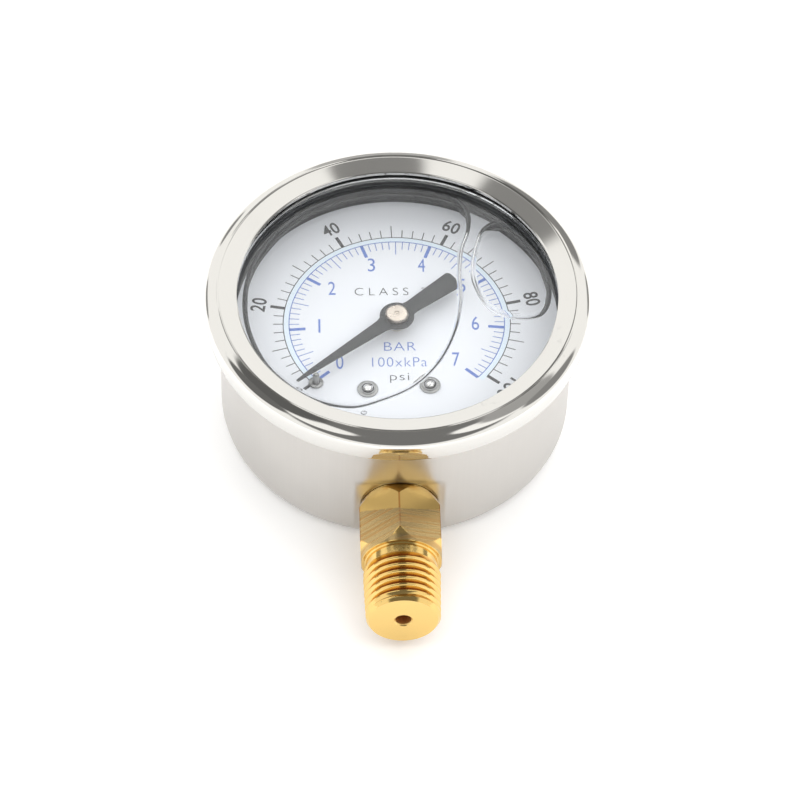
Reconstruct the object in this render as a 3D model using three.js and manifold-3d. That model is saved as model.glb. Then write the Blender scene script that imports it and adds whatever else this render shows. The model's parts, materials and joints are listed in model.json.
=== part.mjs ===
// Liquid-filled pressure gauge with a bottom connection, as an assembly of separate pieces.
// Millimetres, +Z up. The gauge lies on its back: the dial faces +Z, the back plate is at z = 0,
// the pointer turns about the Z axis and the threaded stem points along -Y.
import * as THREE from 'three';
import { mergeVertices } from 'three/addons/utils/BufferGeometryUtils.js';
import Module from 'manifold-3d';

const wasm = await Module();
wasm.setup();

// ---- driving dimensions ----
const FINE = 60;
const MEDIUM = 30;
const COARSE = 14;
const RUNNING_GAP = 0.1;
const PIECE_GAP = 0.3;
const OVERRUN = 1;

const CASE_RADIUS = 31.7;
const CASE_WALL = 0.8;
const CASE_CORNER = 3;
const FLANGE_RADIUS = 33.4;
const FLANGE_BOTTOM = 26.9;
const FLANGE_TOP = 27.6;
const PAD_OFFSET = 30.65;
const PAD_TOP = 15;
const PAD_SLOPE = 2;

const BEZEL_RADIUS = 34.5;
const BEZEL_SHEET = 0.65;
const BEZEL_OPENING = 28.5;
const BEZEL_RIDGE_RADIUS = 32.1;
const BEZEL_TOP = 31.7;
const BEZEL_OPENING_TOP = 30.9;
const BEZEL_SHOULDER = 30.3;
const BEZEL_BOTTOM = 26.2;
const BEZEL_CRIMP_RADIUS = 32.2;

const WINDOW_RADIUS = 32.9;
const WINDOW_STEP_RADIUS = 28.8;
const WINDOW_TOP = 30.1;
const WINDOW_RIM = 28.4;
const WINDOW_BOTTOM = 27.4;
const SEAL_RADIUS = 33.2;
const SEAL_INNER = 28.9;
const SEAL_SKIRT = 29.9;
const SEAL_BOTTOM = 18.3;

const DIAL_RADIUS = 29.3;
const DIAL_BOTTOM = 17.2;
const DIAL_TOP = 18;
const DIAL_CENTRE_HOLE = 1.8;
const DIAL_SCREW_X = 5.5;
const DIAL_SCREW_Y = -15;
const DIAL_SCREW_SHANK = 0.8;
const DIAL_SCREW_HEAD = { radius: 1.35, height: 1 };
const DIAL_WASHER_RADIUS = 1.9;
const DIAL_WASHER_THICK = 0.3;
const SPACER_RADIUS = 1.9;
const SHANK_CLEARANCE = 0.15;

const STEM_HEIGHT = 8.6;
const NECK_RADIUS = 6.7;
const HEX_START = -31.1;
const HEX_END = -43.3;
const HEX_FLATS = 14.2;
const HEX_TURN = THREE.MathUtils.degToRad(2.5);
const HEX_RIM_RADIUS = 6.95;
const HEX_BACK_CHAMFER = 3.7;
const HEX_FRONT_CHAMFER = 0.8;
const RELIEF_RADIUS = 6.3;
const THREAD_START = -45.2;
const STEM_END = -55.5;
const THREAD_PITCH = 1.411;
const THREAD_DEPTH = 1.0;
const THREAD_BIG_RADIUS = 6.85;
const THREAD_TAPER = 1 / 32;
const END_FACE_RADIUS = 6;
const PORT_RADIUS = 1.4;
const RESTRICTOR_RADIUS = 0.4;
const RESTRICTOR_LENGTH = 4;
const RESTRICTOR_DEPTH = 12;
const BORE_START = 19;
const SIDE_PASSAGE_RADIUS = 0.9;
const STEM_SEAL_THICK = 0.65;
const STEM_SEAL_START = 26.65;
const STEM_SEAL_END = 29.4;

const BLOCK_HALF_WIDTH = 6.5;
const BLOCK_BOTTOM = 3;
const BLOCK_TOP = 11.2;
const BLOCK_NEAR = -26.5;
const BLOCK_FAR = -5;

const TUBE_RADIUS = 21.5;
const TUBE_HEIGHT = 7.4;
const TUBE_HALF_THICK = 1.2;
const TUBE_HALF_WIDE = 3.2;
const TUBE_WALL = 0.35;
const TUBE_ROOT = THREE.MathUtils.degToRad(260);
const TUBE_TIP = THREE.MathUtils.degToRad(-20);
const TUBE_STEPS = 36;
const SOCKET_GAP = 0.2;
const SOCKET_END = TUBE_ROOT + 0.015;
const SOCKET_START = TUBE_ROOT - 0.45;
const TIP_GAP_ANGLE = 0.02;
const TIP_END_ANGLE = 0.16;
const TIP_EAR_REACH = 1.3;

const PINION_TEETH = 12;
const SECTOR_TEETH = 120;
const GEAR_MODULE = 0.2;
const SECTOR_X = 8.2;
const SECTOR_Y = -10.4;
const TAIL_LENGTH = 6.3;
const TAIL_REST = THREE.MathUtils.degToRad(-42.4);
const TAIL_HALF_WIDTH = 0.8;
const TAIL_OVERHANG = 0.9;
const SECTOR_HUB_RADIUS = 1.7;
const SECTOR_FIRST_TOOTH = -11;
const SECTOR_LAST_TOOTH = 2;
const LINK_END = new THREE.Vector2(16.7, -7.7);
const LINK_HALF_WIDTH = 0.7;
const LINK_OVERHANG = 0.9;
const LINK_PIN_RADIUS = 0.4;
const LINK_PIN_HEAD = 0.8;
const LINK_PIVOT_BORE = 0.5;
const LINK_TIP_BORE = 0.65;

const BACK_PLATE_BOTTOM = 11.3;
const BACK_PLATE_TOP = 12.1;
const LINK_BOTTOM = 12.4;
const LINK_TOP = 13.1;
const SECTOR_BOTTOM = 13.4;
const SECTOR_TOP = 14.2;
const FRONT_PLATE_BOTTOM = 15;
const FRONT_PLATE_TOP = 15.8;
const ARBOR_RADIUS = 0.5;
const ARBOR_BORE = 0.55;
const ARBOR_HOLE = ARBOR_RADIUS + RUNNING_GAP;
const ARBOR_SHOULDER_RADIUS = 0.85;
const ARBOR_OVERHANG = 0.5;
const PILLARS = [[-3.8, 4.8], [-5, -19.2], [5, -19.2]];
const PILLAR_RADIUS = 1.1;
const PILLAR_PEG_RADIUS = 0.6;
const PILLAR_PEG_HOLE = 0.75;
const MOVEMENT_SCREWS = [[-2.4, -8.6], [-1, -17]];
const MOVEMENT_SCREW_HEAD = { radius: 1.6, height: 0.9 };
const MOVEMENT_SCREW_SHANK = 0.8;
const MOVEMENT_SCREW_REACH = 3.4;
const MOVEMENT_SCREW_HOLE = 1.1;
const TAPPED_HOLE_RADIUS = 0.9;
const TAPPED_HOLE_DEPTH = 3.2;
const SPRING_START_RADIUS = 1.35;
const SPRING_GROWTH = 2.7;
const SPRING_TURNS = 4;
const SPRING_ANGLE = Math.PI / 4;
const SPRING_HALF_WIDE = 0.25;
const SPRING_HALF_THICK = 0.06;
const SPRING_STUD_PLACE = 4.55;
const SPRING_STUD_RADIUS = 0.4;

const POINTER_BOTTOM = 21.3;
const POINTER_TOP = 21.8;
const POINTER_REST = THREE.MathUtils.degToRad(219);
const POINTER_TIP = 23.3;
const POINTER_TAIL = 14.2;
const HUB_RADIUS = 1.2;
const HUB_FLANGE_RADIUS = 2.6;
const HUB_FLANGE_THICK = 0.9;
const CAP_RADIUS = 2.15;
const CAP_EDGE_RADIUS = 1.5;
const CAP_HEIGHT = 1.4;
const STOP_RADIUS = 19.9;
const STOP_ANGLE = THREE.MathUtils.degToRad(222.7);
const STOP_SHANK = 0.45;
const STOP_PIN_RADIUS = 0.55;
const STOP_COLLAR_RADIUS = 1.35;

const FILL_HEIGHT = 10.5;
const FILL_HOLE_RADIUS = 4.6;
const PLUG_INNER = 27.7;
const PLUG_SHOULDER = 31.85;
const PLUG_OUTER = 33.3;
const PLUG_SHANK_RADIUS = 4.4;
const PLUG_CAP_RADIUS = 6;

// ---- finishes ----
const finish = (color, roughness, metalness) =>
  new THREE.MeshStandardMaterial({ color, roughness, metalness });
const FINISHES = {
  stainless: () => finish(0xc9c5c0, 0.3, 1),
  polished: () => finish(0xd8d6d2, 0.1, 1),
  brass: () => finish(0xd8a84a, 0.22, 1),
  bronze: () => finish(0xb07a48, 0.35, 1),
  steel: () => finish(0xb8bbbe, 0.25, 1),
  white: () => finish(0xf4f5f7, 0.5, 0),
  dark: () => finish(0x3a3b3c, 0.5, 0),
  rubber: () => finish(0x141414, 0.7, 0),
  clear: () => finish(0xeef4f6, 0.05, 0),
};

const gauge = new THREE.Group();

function place(name, geometry, look) {
  const mesh = new THREE.Mesh(geometry, FINISHES[look]());
  mesh.name = name;
  gauge.add(mesh);
  return mesh;
}

// ---- shape helpers ----
function toSolid(geometry) {
  const bare = geometry.clone();
  bare.deleteAttribute('normal');
  bare.deleteAttribute('uv');
  const merged = mergeVertices(bare, 1e-5);
  const vertProperties = new Float32Array(merged.attributes.position.array);
  const triVerts = new Uint32Array(merged.index.array);
  return new wasm.Manifold(new wasm.Mesh({ numProp: 3, vertProperties, triVerts }));
}

function toGeometry(solid) {
  const mesh = solid.getMesh();
  const geometry = new THREE.BufferGeometry();
  geometry.setAttribute('position', new THREE.BufferAttribute(new Float32Array(mesh.vertProperties), 3));
  geometry.setIndex(new THREE.BufferAttribute(new Uint32Array(mesh.triVerts), 1));
  geometry.computeVertexNormals();
  return geometry;
}

const cut = (geometry, ...tools) =>
  toGeometry(tools.reduce((solid, tool) => solid.subtract(toSolid(tool)), toSolid(geometry)));

const join = (geometry, ...others) =>
  toGeometry(others.reduce((solid, other) => solid.add(toSolid(other)), toSolid(geometry)));

// A profile of [radius, z] pairs turned about the Z axis.
function turned(profile, segments = MEDIUM) {
  const points = profile.map(([radius, height]) => new THREE.Vector2(radius, height));
  return new THREE.LatheGeometry(points, segments).rotateX(Math.PI / 2);
}

// A profile that closes on itself, such as a ring's section.
const ring = (profile, segments = MEDIUM) => turned([...profile, profile[0]], segments);

const disc = (radius, low, high, segments = MEDIUM) =>
  turned([[0, low], [radius, low], [radius, high], [0, high]], segments);

const washer = (inner, outer, low, high, segments = MEDIUM) =>
  ring([[inner, low], [outer, low], [outer, high], [inner, high]], segments);

// Lays a shape drawn along +Z along the stem's axis, so that +Z becomes -Y at the stem's height.
const alongStem = (geometry) => geometry.rotateX(Math.PI / 2).translate(0, 0, STEM_HEIGHT);

const slab = (shape, low, high) =>
  new THREE.ExtrudeGeometry(shape, { depth: high - low, bevelEnabled: false }).translate(0, 0, low);

const block = (low, high) => new THREE.BoxGeometry(high[0] - low[0], high[1] - low[1], high[2] - low[2])
  .translate((low[0] + high[0]) / 2, (low[1] + high[1]) / 2, (low[2] + high[2]) / 2);

const polar = (radius, angle) => [radius * Math.cos(angle), radius * Math.sin(angle)];

function circlePoints(x, y, radius, sides) {
  return Array.from({ length: sides }, (_, side) => {
    const [across, up] = polar(radius, (2 * Math.PI * side) / sides);
    return new THREE.Vector2(x + across, y + up);
  });
}

const roundHole = (x, y, radius) => new THREE.Path(circlePoints(x, y, radius, COARSE).reverse());

const shapeFrom = (points) => new THREE.Shape(points.map(([x, y]) => new THREE.Vector2(x, y)));

function quarterArc(centre, radius, start, end, steps) {
  const points = [];
  for (let step = 0; step <= steps; step += 1) {
    const angle = start + ((end - start) * step) / steps;
    points.push([centre[0] + radius * Math.cos(angle), centre[1] + radius * Math.sin(angle)]);
  }
  return points;
}

// ---- case: a drawn cup with a flat pad pressed in where the stem passes out ----
function cupProfile(radius, floor, corner, top) {
  const bend = quarterArc([radius - corner, floor + corner], corner, -Math.PI / 2, 0, 5);
  return [[0, floor], ...bend, [radius, top]];
}

// The side of the cup that the pad removes, for a flat at the given offset.
function padCutter(offset) {
  const outline = shapeFrom([
    [-BEZEL_RADIUS, -OVERRUN],
    [-offset, -OVERRUN],
    [-offset, PAD_TOP],
    [-CASE_RADIUS - OVERRUN / 2, PAD_TOP + PAD_SLOPE],
    [-BEZEL_RADIUS, PAD_TOP + PAD_SLOPE],
  ]);
  return slab(outline, -FLANGE_RADIUS, FLANGE_RADIUS).rotateX(Math.PI / 2).rotateZ(Math.PI / 2);
}

function caseCup() {
  const outer = [...cupProfile(CASE_RADIUS, 0, CASE_CORNER, FLANGE_BOTTOM),
    [FLANGE_RADIUS, FLANGE_BOTTOM], [FLANGE_RADIUS, FLANGE_TOP], [0, FLANGE_TOP]];
  const innerRadius = CASE_RADIUS - CASE_WALL;
  const inner = [...cupProfile(innerRadius, CASE_WALL, CASE_CORNER - CASE_WALL, FLANGE_TOP + OVERRUN),
    [0, FLANGE_TOP + OVERRUN]];
  const shell = toSolid(turned(outer, FINE)).subtract(toSolid(padCutter(PAD_OFFSET)));
  const cavity = toSolid(turned(inner, FINE)).subtract(toSolid(padCutter(PAD_OFFSET - CASE_WALL)));
  const stemHole = alongStem(disc(NECK_RADIUS + RUNNING_GAP, BLOCK_HALF_WIDTH, BEZEL_RADIUS));
  const fillHole = disc(FILL_HOLE_RADIUS, DIAL_RADIUS - OVERRUN, BEZEL_RADIUS, COARSE)
    .rotateX(-Math.PI / 2)
    .translate(0, 0, FILL_HEIGHT);
  return toGeometry(shell.subtract(cavity).subtract(toSolid(stemHole)).subtract(toSolid(fillHole)));
}
place('case', caseCup(), 'stainless');

// ---- bezel: a rolled ring crimped under the case flange ----
function bezelRing() {
  const rollWidth = BEZEL_RADIUS - BEZEL_RIDGE_RADIUS;
  const rollDrop = BEZEL_TOP - BEZEL_SHOULDER;
  const rollSteps = 5;
  const outerRoll = [];
  const innerRoll = [];
  for (let step = 0; step <= rollSteps; step += 1) {
    const turn = ((Math.PI / 2) * step) / rollSteps;
    const across = Math.sin(turn);
    const down = 1 - Math.cos(turn);
    outerRoll.push([BEZEL_RIDGE_RADIUS + rollWidth * across, BEZEL_TOP - rollDrop * down]);
    innerRoll.push([
      BEZEL_RIDGE_RADIUS + (rollWidth - BEZEL_SHEET) * across,
      BEZEL_TOP - BEZEL_SHEET - rollDrop * down,
    ]);
  }
  return ring([
    [BEZEL_OPENING, BEZEL_OPENING_TOP - BEZEL_SHEET],
    ...innerRoll,
    [BEZEL_RADIUS - BEZEL_SHEET, BEZEL_BOTTOM + BEZEL_SHEET],
    [BEZEL_CRIMP_RADIUS, BEZEL_BOTTOM + BEZEL_SHEET - RUNNING_GAP],
    [BEZEL_CRIMP_RADIUS, BEZEL_BOTTOM],
    [BEZEL_RADIUS - BEZEL_SHEET, BEZEL_BOTTOM],
    [BEZEL_RADIUS, BEZEL_BOTTOM + BEZEL_SHEET],
    ...outerRoll.reverse(),
    [BEZEL_OPENING, BEZEL_OPENING_TOP],
  ], FINE);
}
place('bezel_ring', bezelRing(), 'polished');

// ---- window and its rubber seal ----
place('window', turned([
  [0, WINDOW_BOTTOM], [WINDOW_STEP_RADIUS, WINDOW_BOTTOM], [WINDOW_STEP_RADIUS, WINDOW_RIM],
  [WINDOW_RADIUS, WINDOW_RIM], [WINDOW_RADIUS, WINDOW_TOP], [0, WINDOW_TOP],
], FINE), 'clear');

place('window_seal', ring([
  [SEAL_INNER, SEAL_BOTTOM], [SEAL_SKIRT, SEAL_BOTTOM], [SEAL_SKIRT, FLANGE_TOP + RUNNING_GAP / 2],
  [SEAL_RADIUS, FLANGE_TOP + RUNNING_GAP / 2], [SEAL_RADIUS, WINDOW_RIM - RUNNING_GAP / 2],
  [SEAL_INNER, WINDOW_RIM - RUNNING_GAP / 2],
], FINE), 'rubber');

// ---- dial plate and what is fixed to it ----
const stopPlace = polar(STOP_RADIUS, STOP_ANGLE);

function dialPlate() {
  const face = new THREE.Shape(circlePoints(0, 0, DIAL_RADIUS, FINE));
  face.holes.push(roundHole(0, 0, DIAL_CENTRE_HOLE));
  for (const side of [-1, 1]) {
    face.holes.push(roundHole(side * DIAL_SCREW_X, DIAL_SCREW_Y, DIAL_SCREW_SHANK + SHANK_CLEARANCE));
  }
  face.holes.push(roundHole(...stopPlace, STOP_SHANK + SHANK_CLEARANCE));
  return slab(face, DIAL_BOTTOM, DIAL_TOP);
}
place('dial_plate', dialPlate(), 'white');

// A domed screw standing along Z: the head's underside is at z = 0.
function domedScrew(head, shankRadius, shankLength) {
  const rim = head.height * 0.3;
  const dome = quarterArc([0, 0], 1, 0, Math.PI / 2, 4)
    .map(([across, up]) => [across * head.radius, rim + up * (head.height - rim)]);
  return turned([
    [0, -shankLength], [shankRadius, -shankLength], [shankRadius, 0], [head.radius, 0],
    ...dome.slice(0, -1), [0, head.height],
  ], COARSE);
}

['left', 'right'].forEach((side, index) => {
  const x = (index * 2 - 1) * DIAL_SCREW_X;
  const bore = DIAL_SCREW_SHANK + SHANK_CLEARANCE;
  place(`dial_spacer_${side}`, washer(bore, SPACER_RADIUS, FRONT_PLATE_TOP, DIAL_BOTTOM, COARSE), 'brass')
    .position.set(x, DIAL_SCREW_Y, 0);
  const washerTop = DIAL_TOP + DIAL_WASHER_THICK;
  place(`dial_washer_${side}`, washer(bore, DIAL_WASHER_RADIUS, DIAL_TOP, washerTop, COARSE), 'steel')
    .position.set(x, DIAL_SCREW_Y, 0);
  const shank = washerTop - FRONT_PLATE_BOTTOM;
  place(`dial_screw_${side}`, domedScrew(DIAL_SCREW_HEAD, DIAL_SCREW_SHANK, shank), 'steel')
    .position.set(x, DIAL_SCREW_Y, washerTop);
});

const stopShankEnd = DIAL_BOTTOM - 0.6;
place('stop_pin', turned([
  [0, stopShankEnd], [STOP_SHANK, stopShankEnd], [STOP_SHANK, DIAL_TOP], [STOP_COLLAR_RADIUS, DIAL_TOP],
  [STOP_COLLAR_RADIUS, DIAL_TOP + 0.4], [STOP_PIN_RADIUS, DIAL_TOP + 0.5], [STOP_PIN_RADIUS, POINTER_TOP],
  [STOP_PIN_RADIUS - 0.2, POINTER_TOP + 0.35], [0, POINTER_TOP + 0.4],
], COARSE), 'steel').position.set(...stopPlace, 0);

// ---- stem: neck, hexagon, tapered thread and the block that carries the works ----
function threadProfile() {
  const profile = [];
  const crestFlat = THREAD_PITCH / 8;
  const length = THREAD_START - STEM_END;
  const turns = Math.floor((length - 1.2) / THREAD_PITCH);
  const radiusAt = (y) => THREAD_BIG_RADIUS - (THREAD_START - y) * THREAD_TAPER;
  for (let turn = 0; turn < turns; turn += 1) {
    const crest = THREAD_START - turn * THREAD_PITCH;
    const root = crest - THREAD_PITCH / 2;
    const rootRadius = radiusAt(root) - THREAD_DEPTH;
    profile.push([radiusAt(crest), crest + crestFlat], [radiusAt(crest), crest - crestFlat]);
    profile.push([rootRadius, root + crestFlat], [rootRadius, root - crestFlat]);
  }
  const last = THREAD_START - turns * THREAD_PITCH;
  profile.push([radiusAt(last), last + crestFlat], [radiusAt(last), last - crestFlat]);
  profile.push([END_FACE_RADIUS, STEM_END]);
  return profile;
}

function stemHexagon() {
  const corner = HEX_FLATS / Math.sqrt(3);
  const outline = new THREE.Shape();
  for (let side = 0; side < 6; side += 1) {
    const angle = Math.PI / 2 + HEX_TURN + (side * Math.PI) / 3;
    const [x, z] = polar(corner, angle);
    if (side === 0) outline.moveTo(x, z);
    else outline.lineTo(x, z);
  }
  const prism = slab(outline, -HEX_START, -HEX_END);
  const barrel = turned([
    [0, -HEX_START], [HEX_RIM_RADIUS, -HEX_START], [corner, -HEX_START + HEX_BACK_CHAMFER],
    [corner, -HEX_END - HEX_FRONT_CHAMFER], [HEX_RIM_RADIUS, -HEX_END], [0, -HEX_END],
  ]);
  return toSolid(prism).intersect(toSolid(barrel));
}

function socketStem() {
  const neckInside = -BLOCK_NEAR - OVERRUN / 2;
  const neck = disc(NECK_RADIUS, neckInside, -HEX_START + OVERRUN / 2);
  const relief = disc(RELIEF_RADIUS, -HEX_END - OVERRUN / 2, -THREAD_START);
  const threadOutline = threadProfile().map(([radius, y]) => [radius, -y]);
  const start = threadOutline[0][1];
  const thread = turned([[0, start], ...threadOutline, [0, -STEM_END]]);
  const bore = disc(PORT_RADIUS, BORE_START, -STEM_END + OVERRUN, COARSE);
  let stem = toSolid(alongStem(neck));
  stem = stem.add(toSolid(alongStem(toGeometry(stemHexagon()))));
  stem = stem.add(toSolid(alongStem(relief))).add(toSolid(alongStem(thread)));
  stem = stem.add(toSolid(block(
    [-BLOCK_HALF_WIDTH, BLOCK_NEAR, BLOCK_BOTTOM],
    [BLOCK_HALF_WIDTH, BLOCK_FAR, BLOCK_TOP],
  )));
  stem = stem.subtract(toSolid(alongStem(bore)));
  stem = stem.subtract(toSolid(tubeSocket()));
  const sidePassage = disc(SIDE_PASSAGE_RADIUS, 0, BLOCK_HALF_WIDTH - 2, COARSE)
    .rotateY(-Math.PI / 2)
    .translate(0, TUBE_RADIUS * Math.sin(TUBE_ROOT), TUBE_HEIGHT);
  stem = stem.subtract(toSolid(sidePassage));
  for (const [x, y] of MOVEMENT_SCREWS) {
    const tapped = disc(TAPPED_HOLE_RADIUS, BLOCK_TOP - TAPPED_HOLE_DEPTH, BLOCK_TOP + OVERRUN, COARSE)
      .translate(x, y, 0);
    stem = stem.subtract(toSolid(tapped));
  }
  return toGeometry(stem);
}

// ---- Bourdon tube: a flattened tube bent into a C ----
class TubeArc extends THREE.Curve {
  constructor(start, end) {
    super();
    this.start = start;
    this.end = end;
  }

  getPoint(fraction, target = new THREE.Vector3()) {
    const angle = this.start + (this.end - this.start) * fraction;
    return target.set(...polar(TUBE_RADIUS, angle), TUBE_HEIGHT);
  }
}

function oval(halfThick, halfWide, Kind) {
  const outline = new Kind();
  const steps = 12;
  for (let step = 0; step < steps; step += 1) {
    const angle = (2 * Math.PI * step) / steps;
    const x = halfThick * Math.sign(Math.cos(angle)) * Math.abs(Math.cos(angle)) ** 0.8;
    const y = halfWide * Math.sign(Math.sin(angle)) * Math.abs(Math.sin(angle)) ** 0.8;
    if (step === 0) outline.moveTo(x, y);
    else outline.lineTo(x, y);
  }
  outline.closePath();
  return outline;
}

function tubeGeometry(section, start, end, steps) {
  const extrudePath = new TubeArc(start, end);
  return new THREE.ExtrudeGeometry(section, { extrudePath, steps, bevelEnabled: false });
}

function tubeSocket() {
  const wide = oval(TUBE_HALF_WIDE + SOCKET_GAP, TUBE_HALF_THICK + SOCKET_GAP, THREE.Shape);
  return tubeGeometry(wide, SOCKET_END, SOCKET_START, 6);
}

place('socket_stem', socketStem(), 'brass');

function bourdonTube() {
  const section = oval(TUBE_HALF_WIDE, TUBE_HALF_THICK, THREE.Shape);
  section.holes.push(oval(TUBE_HALF_WIDE - TUBE_WALL, TUBE_HALF_THICK - TUBE_WALL, THREE.Path));
  return tubeGeometry(section, TUBE_ROOT, TUBE_TIP, TUBE_STEPS);
}
place('bourdon_tube', bourdonTube(), 'bronze');

// ---- tube tip: an end plug with an ear that the link is pinned to ----
function tubeTip() {
  const near = TUBE_TIP - TIP_GAP_ANGLE;
  const far = TUBE_TIP - TIP_END_ANGLE;
  const endPlug = shapeFrom([
    polar(TUBE_RADIUS - TUBE_HALF_THICK, near),
    polar(TUBE_RADIUS + TUBE_HALF_THICK, near),
    polar(TUBE_RADIUS + TUBE_HALF_THICK, far),
    polar(TUBE_RADIUS - TUBE_HALF_THICK, far),
  ].reverse());
  const body = slab(endPlug, TUBE_HEIGHT - TUBE_HALF_WIDE, LINK_BOTTOM - PIECE_GAP);
  const ear = shapeFrom([
    polar(TUBE_RADIUS, near - 0.01),
    [LINK_END.x, LINK_END.y + TIP_EAR_REACH],
    [LINK_END.x - TIP_EAR_REACH, LINK_END.y],
    [LINK_END.x, LINK_END.y - TIP_EAR_REACH],
    polar(TUBE_RADIUS, far + 0.01),
  ]);
  const earSlab = slab(ear, BACK_PLATE_BOTTOM, LINK_BOTTOM - PIECE_GAP);
  const pinHole = disc(LINK_PIVOT_BORE, 0, FRONT_PLATE_TOP, COARSE).translate(LINK_END.x, LINK_END.y, 0);
  return cut(join(body, earSlab), pinHole);
}
place('tube_tip', tubeTip(), 'brass');

// ---- movement: two plates on pillars, sector gear, pinion, hairspring and link ----
const plateOutline = [
  [-6.2, 3.2], [-5.4, 6.2], [-2.6, 6.8], [0, 4.4], [4.2, 0.6], [10.9, -9.2], [10.9, -12], [7.6, -14.4],
  [7.4, -19], [5.8, -21.2], [-5.8, -21.2], [-7.4, -19], [-7.4, -13],
].reverse();

function plate(extraHoles) {
  const outline = shapeFrom(plateOutline);
  outline.holes.push(roundHole(0, 0, ARBOR_HOLE), roundHole(SECTOR_X, SECTOR_Y, ARBOR_HOLE));
  for (const [x, y, radius] of extraHoles) outline.holes.push(roundHole(x, y, radius));
  return outline;
}

const backHoles = MOVEMENT_SCREWS.map(([x, y]) => [x, y, MOVEMENT_SCREW_HOLE]);
place('movement_back_plate', slab(plate(backHoles), BACK_PLATE_BOTTOM, BACK_PLATE_TOP), 'brass');
const frontHoles = [
  [-DIAL_SCREW_X, DIAL_SCREW_Y, DIAL_SCREW_SHANK + SHANK_CLEARANCE],
  [DIAL_SCREW_X, DIAL_SCREW_Y, DIAL_SCREW_SHANK + SHANK_CLEARANCE],
  ...PILLARS.map(([x, y]) => [x, y, PILLAR_PEG_HOLE]),
];
place('movement_front_plate', slab(plate(frontHoles), FRONT_PLATE_BOTTOM, FRONT_PLATE_TOP), 'brass');

PILLARS.forEach(([x, y], index) => {
  const pillar = turned([
    [0, BACK_PLATE_TOP], [PILLAR_RADIUS, BACK_PLATE_TOP], [PILLAR_RADIUS, FRONT_PLATE_BOTTOM],
    [PILLAR_PEG_RADIUS, FRONT_PLATE_BOTTOM], [PILLAR_PEG_RADIUS, FRONT_PLATE_TOP], [0, FRONT_PLATE_TOP],
  ], COARSE);
  place(`movement_pillar_${index + 1}`, pillar, 'brass').position.set(x, y, 0);
});

MOVEMENT_SCREWS.forEach(([x, y], index) => {
  const screw = domedScrew(MOVEMENT_SCREW_HEAD, MOVEMENT_SCREW_SHANK, MOVEMENT_SCREW_REACH);
  place(`movement_screw_${index + 1}`, screw, 'steel').position.set(x, y, BACK_PLATE_TOP);
});

// One flank-to-flank tooth outline at the given angle, as points on the gear's edge.
function toothPoints(centre, pitchRadius, angle, pitchAngle) {
  const root = pitchRadius - GEAR_MODULE * 1.25;
  const tip = pitchRadius + GEAR_MODULE * 0.85;
  return [[root, -0.24], [tip, -0.09], [tip, 0.09], [root, 0.24]].map(([radius, offset]) => {
    const [x, y] = polar(radius, angle + offset * pitchAngle);
    return [centre[0] + x, centre[1] + y];
  });
}

const meshAngle = Math.atan2(-SECTOR_Y, -SECTOR_X);
const sectorPitch = (2 * Math.PI) / SECTOR_TEETH;
const pinionPitch = (2 * Math.PI) / PINION_TEETH;
const sectorRadius = (GEAR_MODULE * SECTOR_TEETH) / 2;
const pinionRadius = (GEAR_MODULE * PINION_TEETH) / 2;

const linkPivot = [
  SECTOR_X + TAIL_LENGTH * Math.cos(TAIL_REST),
  SECTOR_Y + TAIL_LENGTH * Math.sin(TAIL_REST),
];

// A point at a radius and angle about the sector's arbor.
function aboutSector(radius, angle) {
  const [x, y] = polar(radius, angle);
  return [SECTOR_X + x, SECTOR_Y + y];
}

// The fan-shaped opening that lightens the sector, between two radii.
function sectorOpening() {
  const start = meshAngle + (SECTOR_FIRST_TOOTH + 2) * sectorPitch;
  const spread = (SECTOR_LAST_TOOTH - SECTOR_FIRST_TOOTH - 4) * sectorPitch * 1.8;
  const corners = [[0.55, 9.2], [0.55, 4.4], [0.2, 4.4], [0, 9.2]];
  return corners.map(([share, radius]) => new THREE.Vector2(...aboutSector(radius, start + share * spread)));
}

function sectorGear() {
  const fan = [];
  for (let tooth = SECTOR_FIRST_TOOTH; tooth <= SECTOR_LAST_TOOTH; tooth += 1) {
    const angle = meshAngle + tooth * sectorPitch;
    fan.push(...toothPoints([SECTOR_X, SECTOR_Y], sectorRadius, angle, sectorPitch));
  }
  for (const turn of [1.2, -1.6]) fan.push(aboutSector(SECTOR_HUB_RADIUS * 0.9, meshAngle + turn));
  const web = shapeFrom(fan);
  web.holes.push(new THREE.Path(sectorOpening()));
  const hub = disc(SECTOR_HUB_RADIUS, SECTOR_BOTTOM, SECTOR_TOP, COARSE).translate(SECTOR_X, SECTOR_Y, 0);
  const tail = block(
    [0, -TAIL_HALF_WIDTH, SECTOR_BOTTOM],
    [TAIL_LENGTH + TAIL_OVERHANG, TAIL_HALF_WIDTH, SECTOR_TOP],
  ).rotateZ(TAIL_REST).translate(SECTOR_X, SECTOR_Y, 0);
  const bore = disc(ARBOR_BORE, 0, BEZEL_TOP, COARSE).translate(SECTOR_X, SECTOR_Y, 0);
  const pinHole = disc(LINK_PIN_RADIUS + 0.05, 0, BEZEL_TOP, COARSE).translate(...linkPivot, 0);
  return cut(join(slab(web, SECTOR_BOTTOM, SECTOR_TOP), hub, tail), bore, pinHole);
}
place('sector_gear', sectorGear(), 'brass');

const arborFoot = BACK_PLATE_BOTTOM + 0.1;
const sectorCollarTop = SECTOR_BOTTOM - 0.05;
place('sector_arbor', turned([
  [0, arborFoot], [ARBOR_RADIUS, arborFoot], [ARBOR_RADIUS, LINK_BOTTOM], [0.9, LINK_BOTTOM],
  [0.9, sectorCollarTop], [ARBOR_RADIUS, sectorCollarTop], [ARBOR_RADIUS, FRONT_PLATE_TOP - 0.1],
  [0, FRONT_PLATE_TOP - 0.1],
], COARSE), 'steel').position.set(SECTOR_X, SECTOR_Y, 0);

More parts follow.
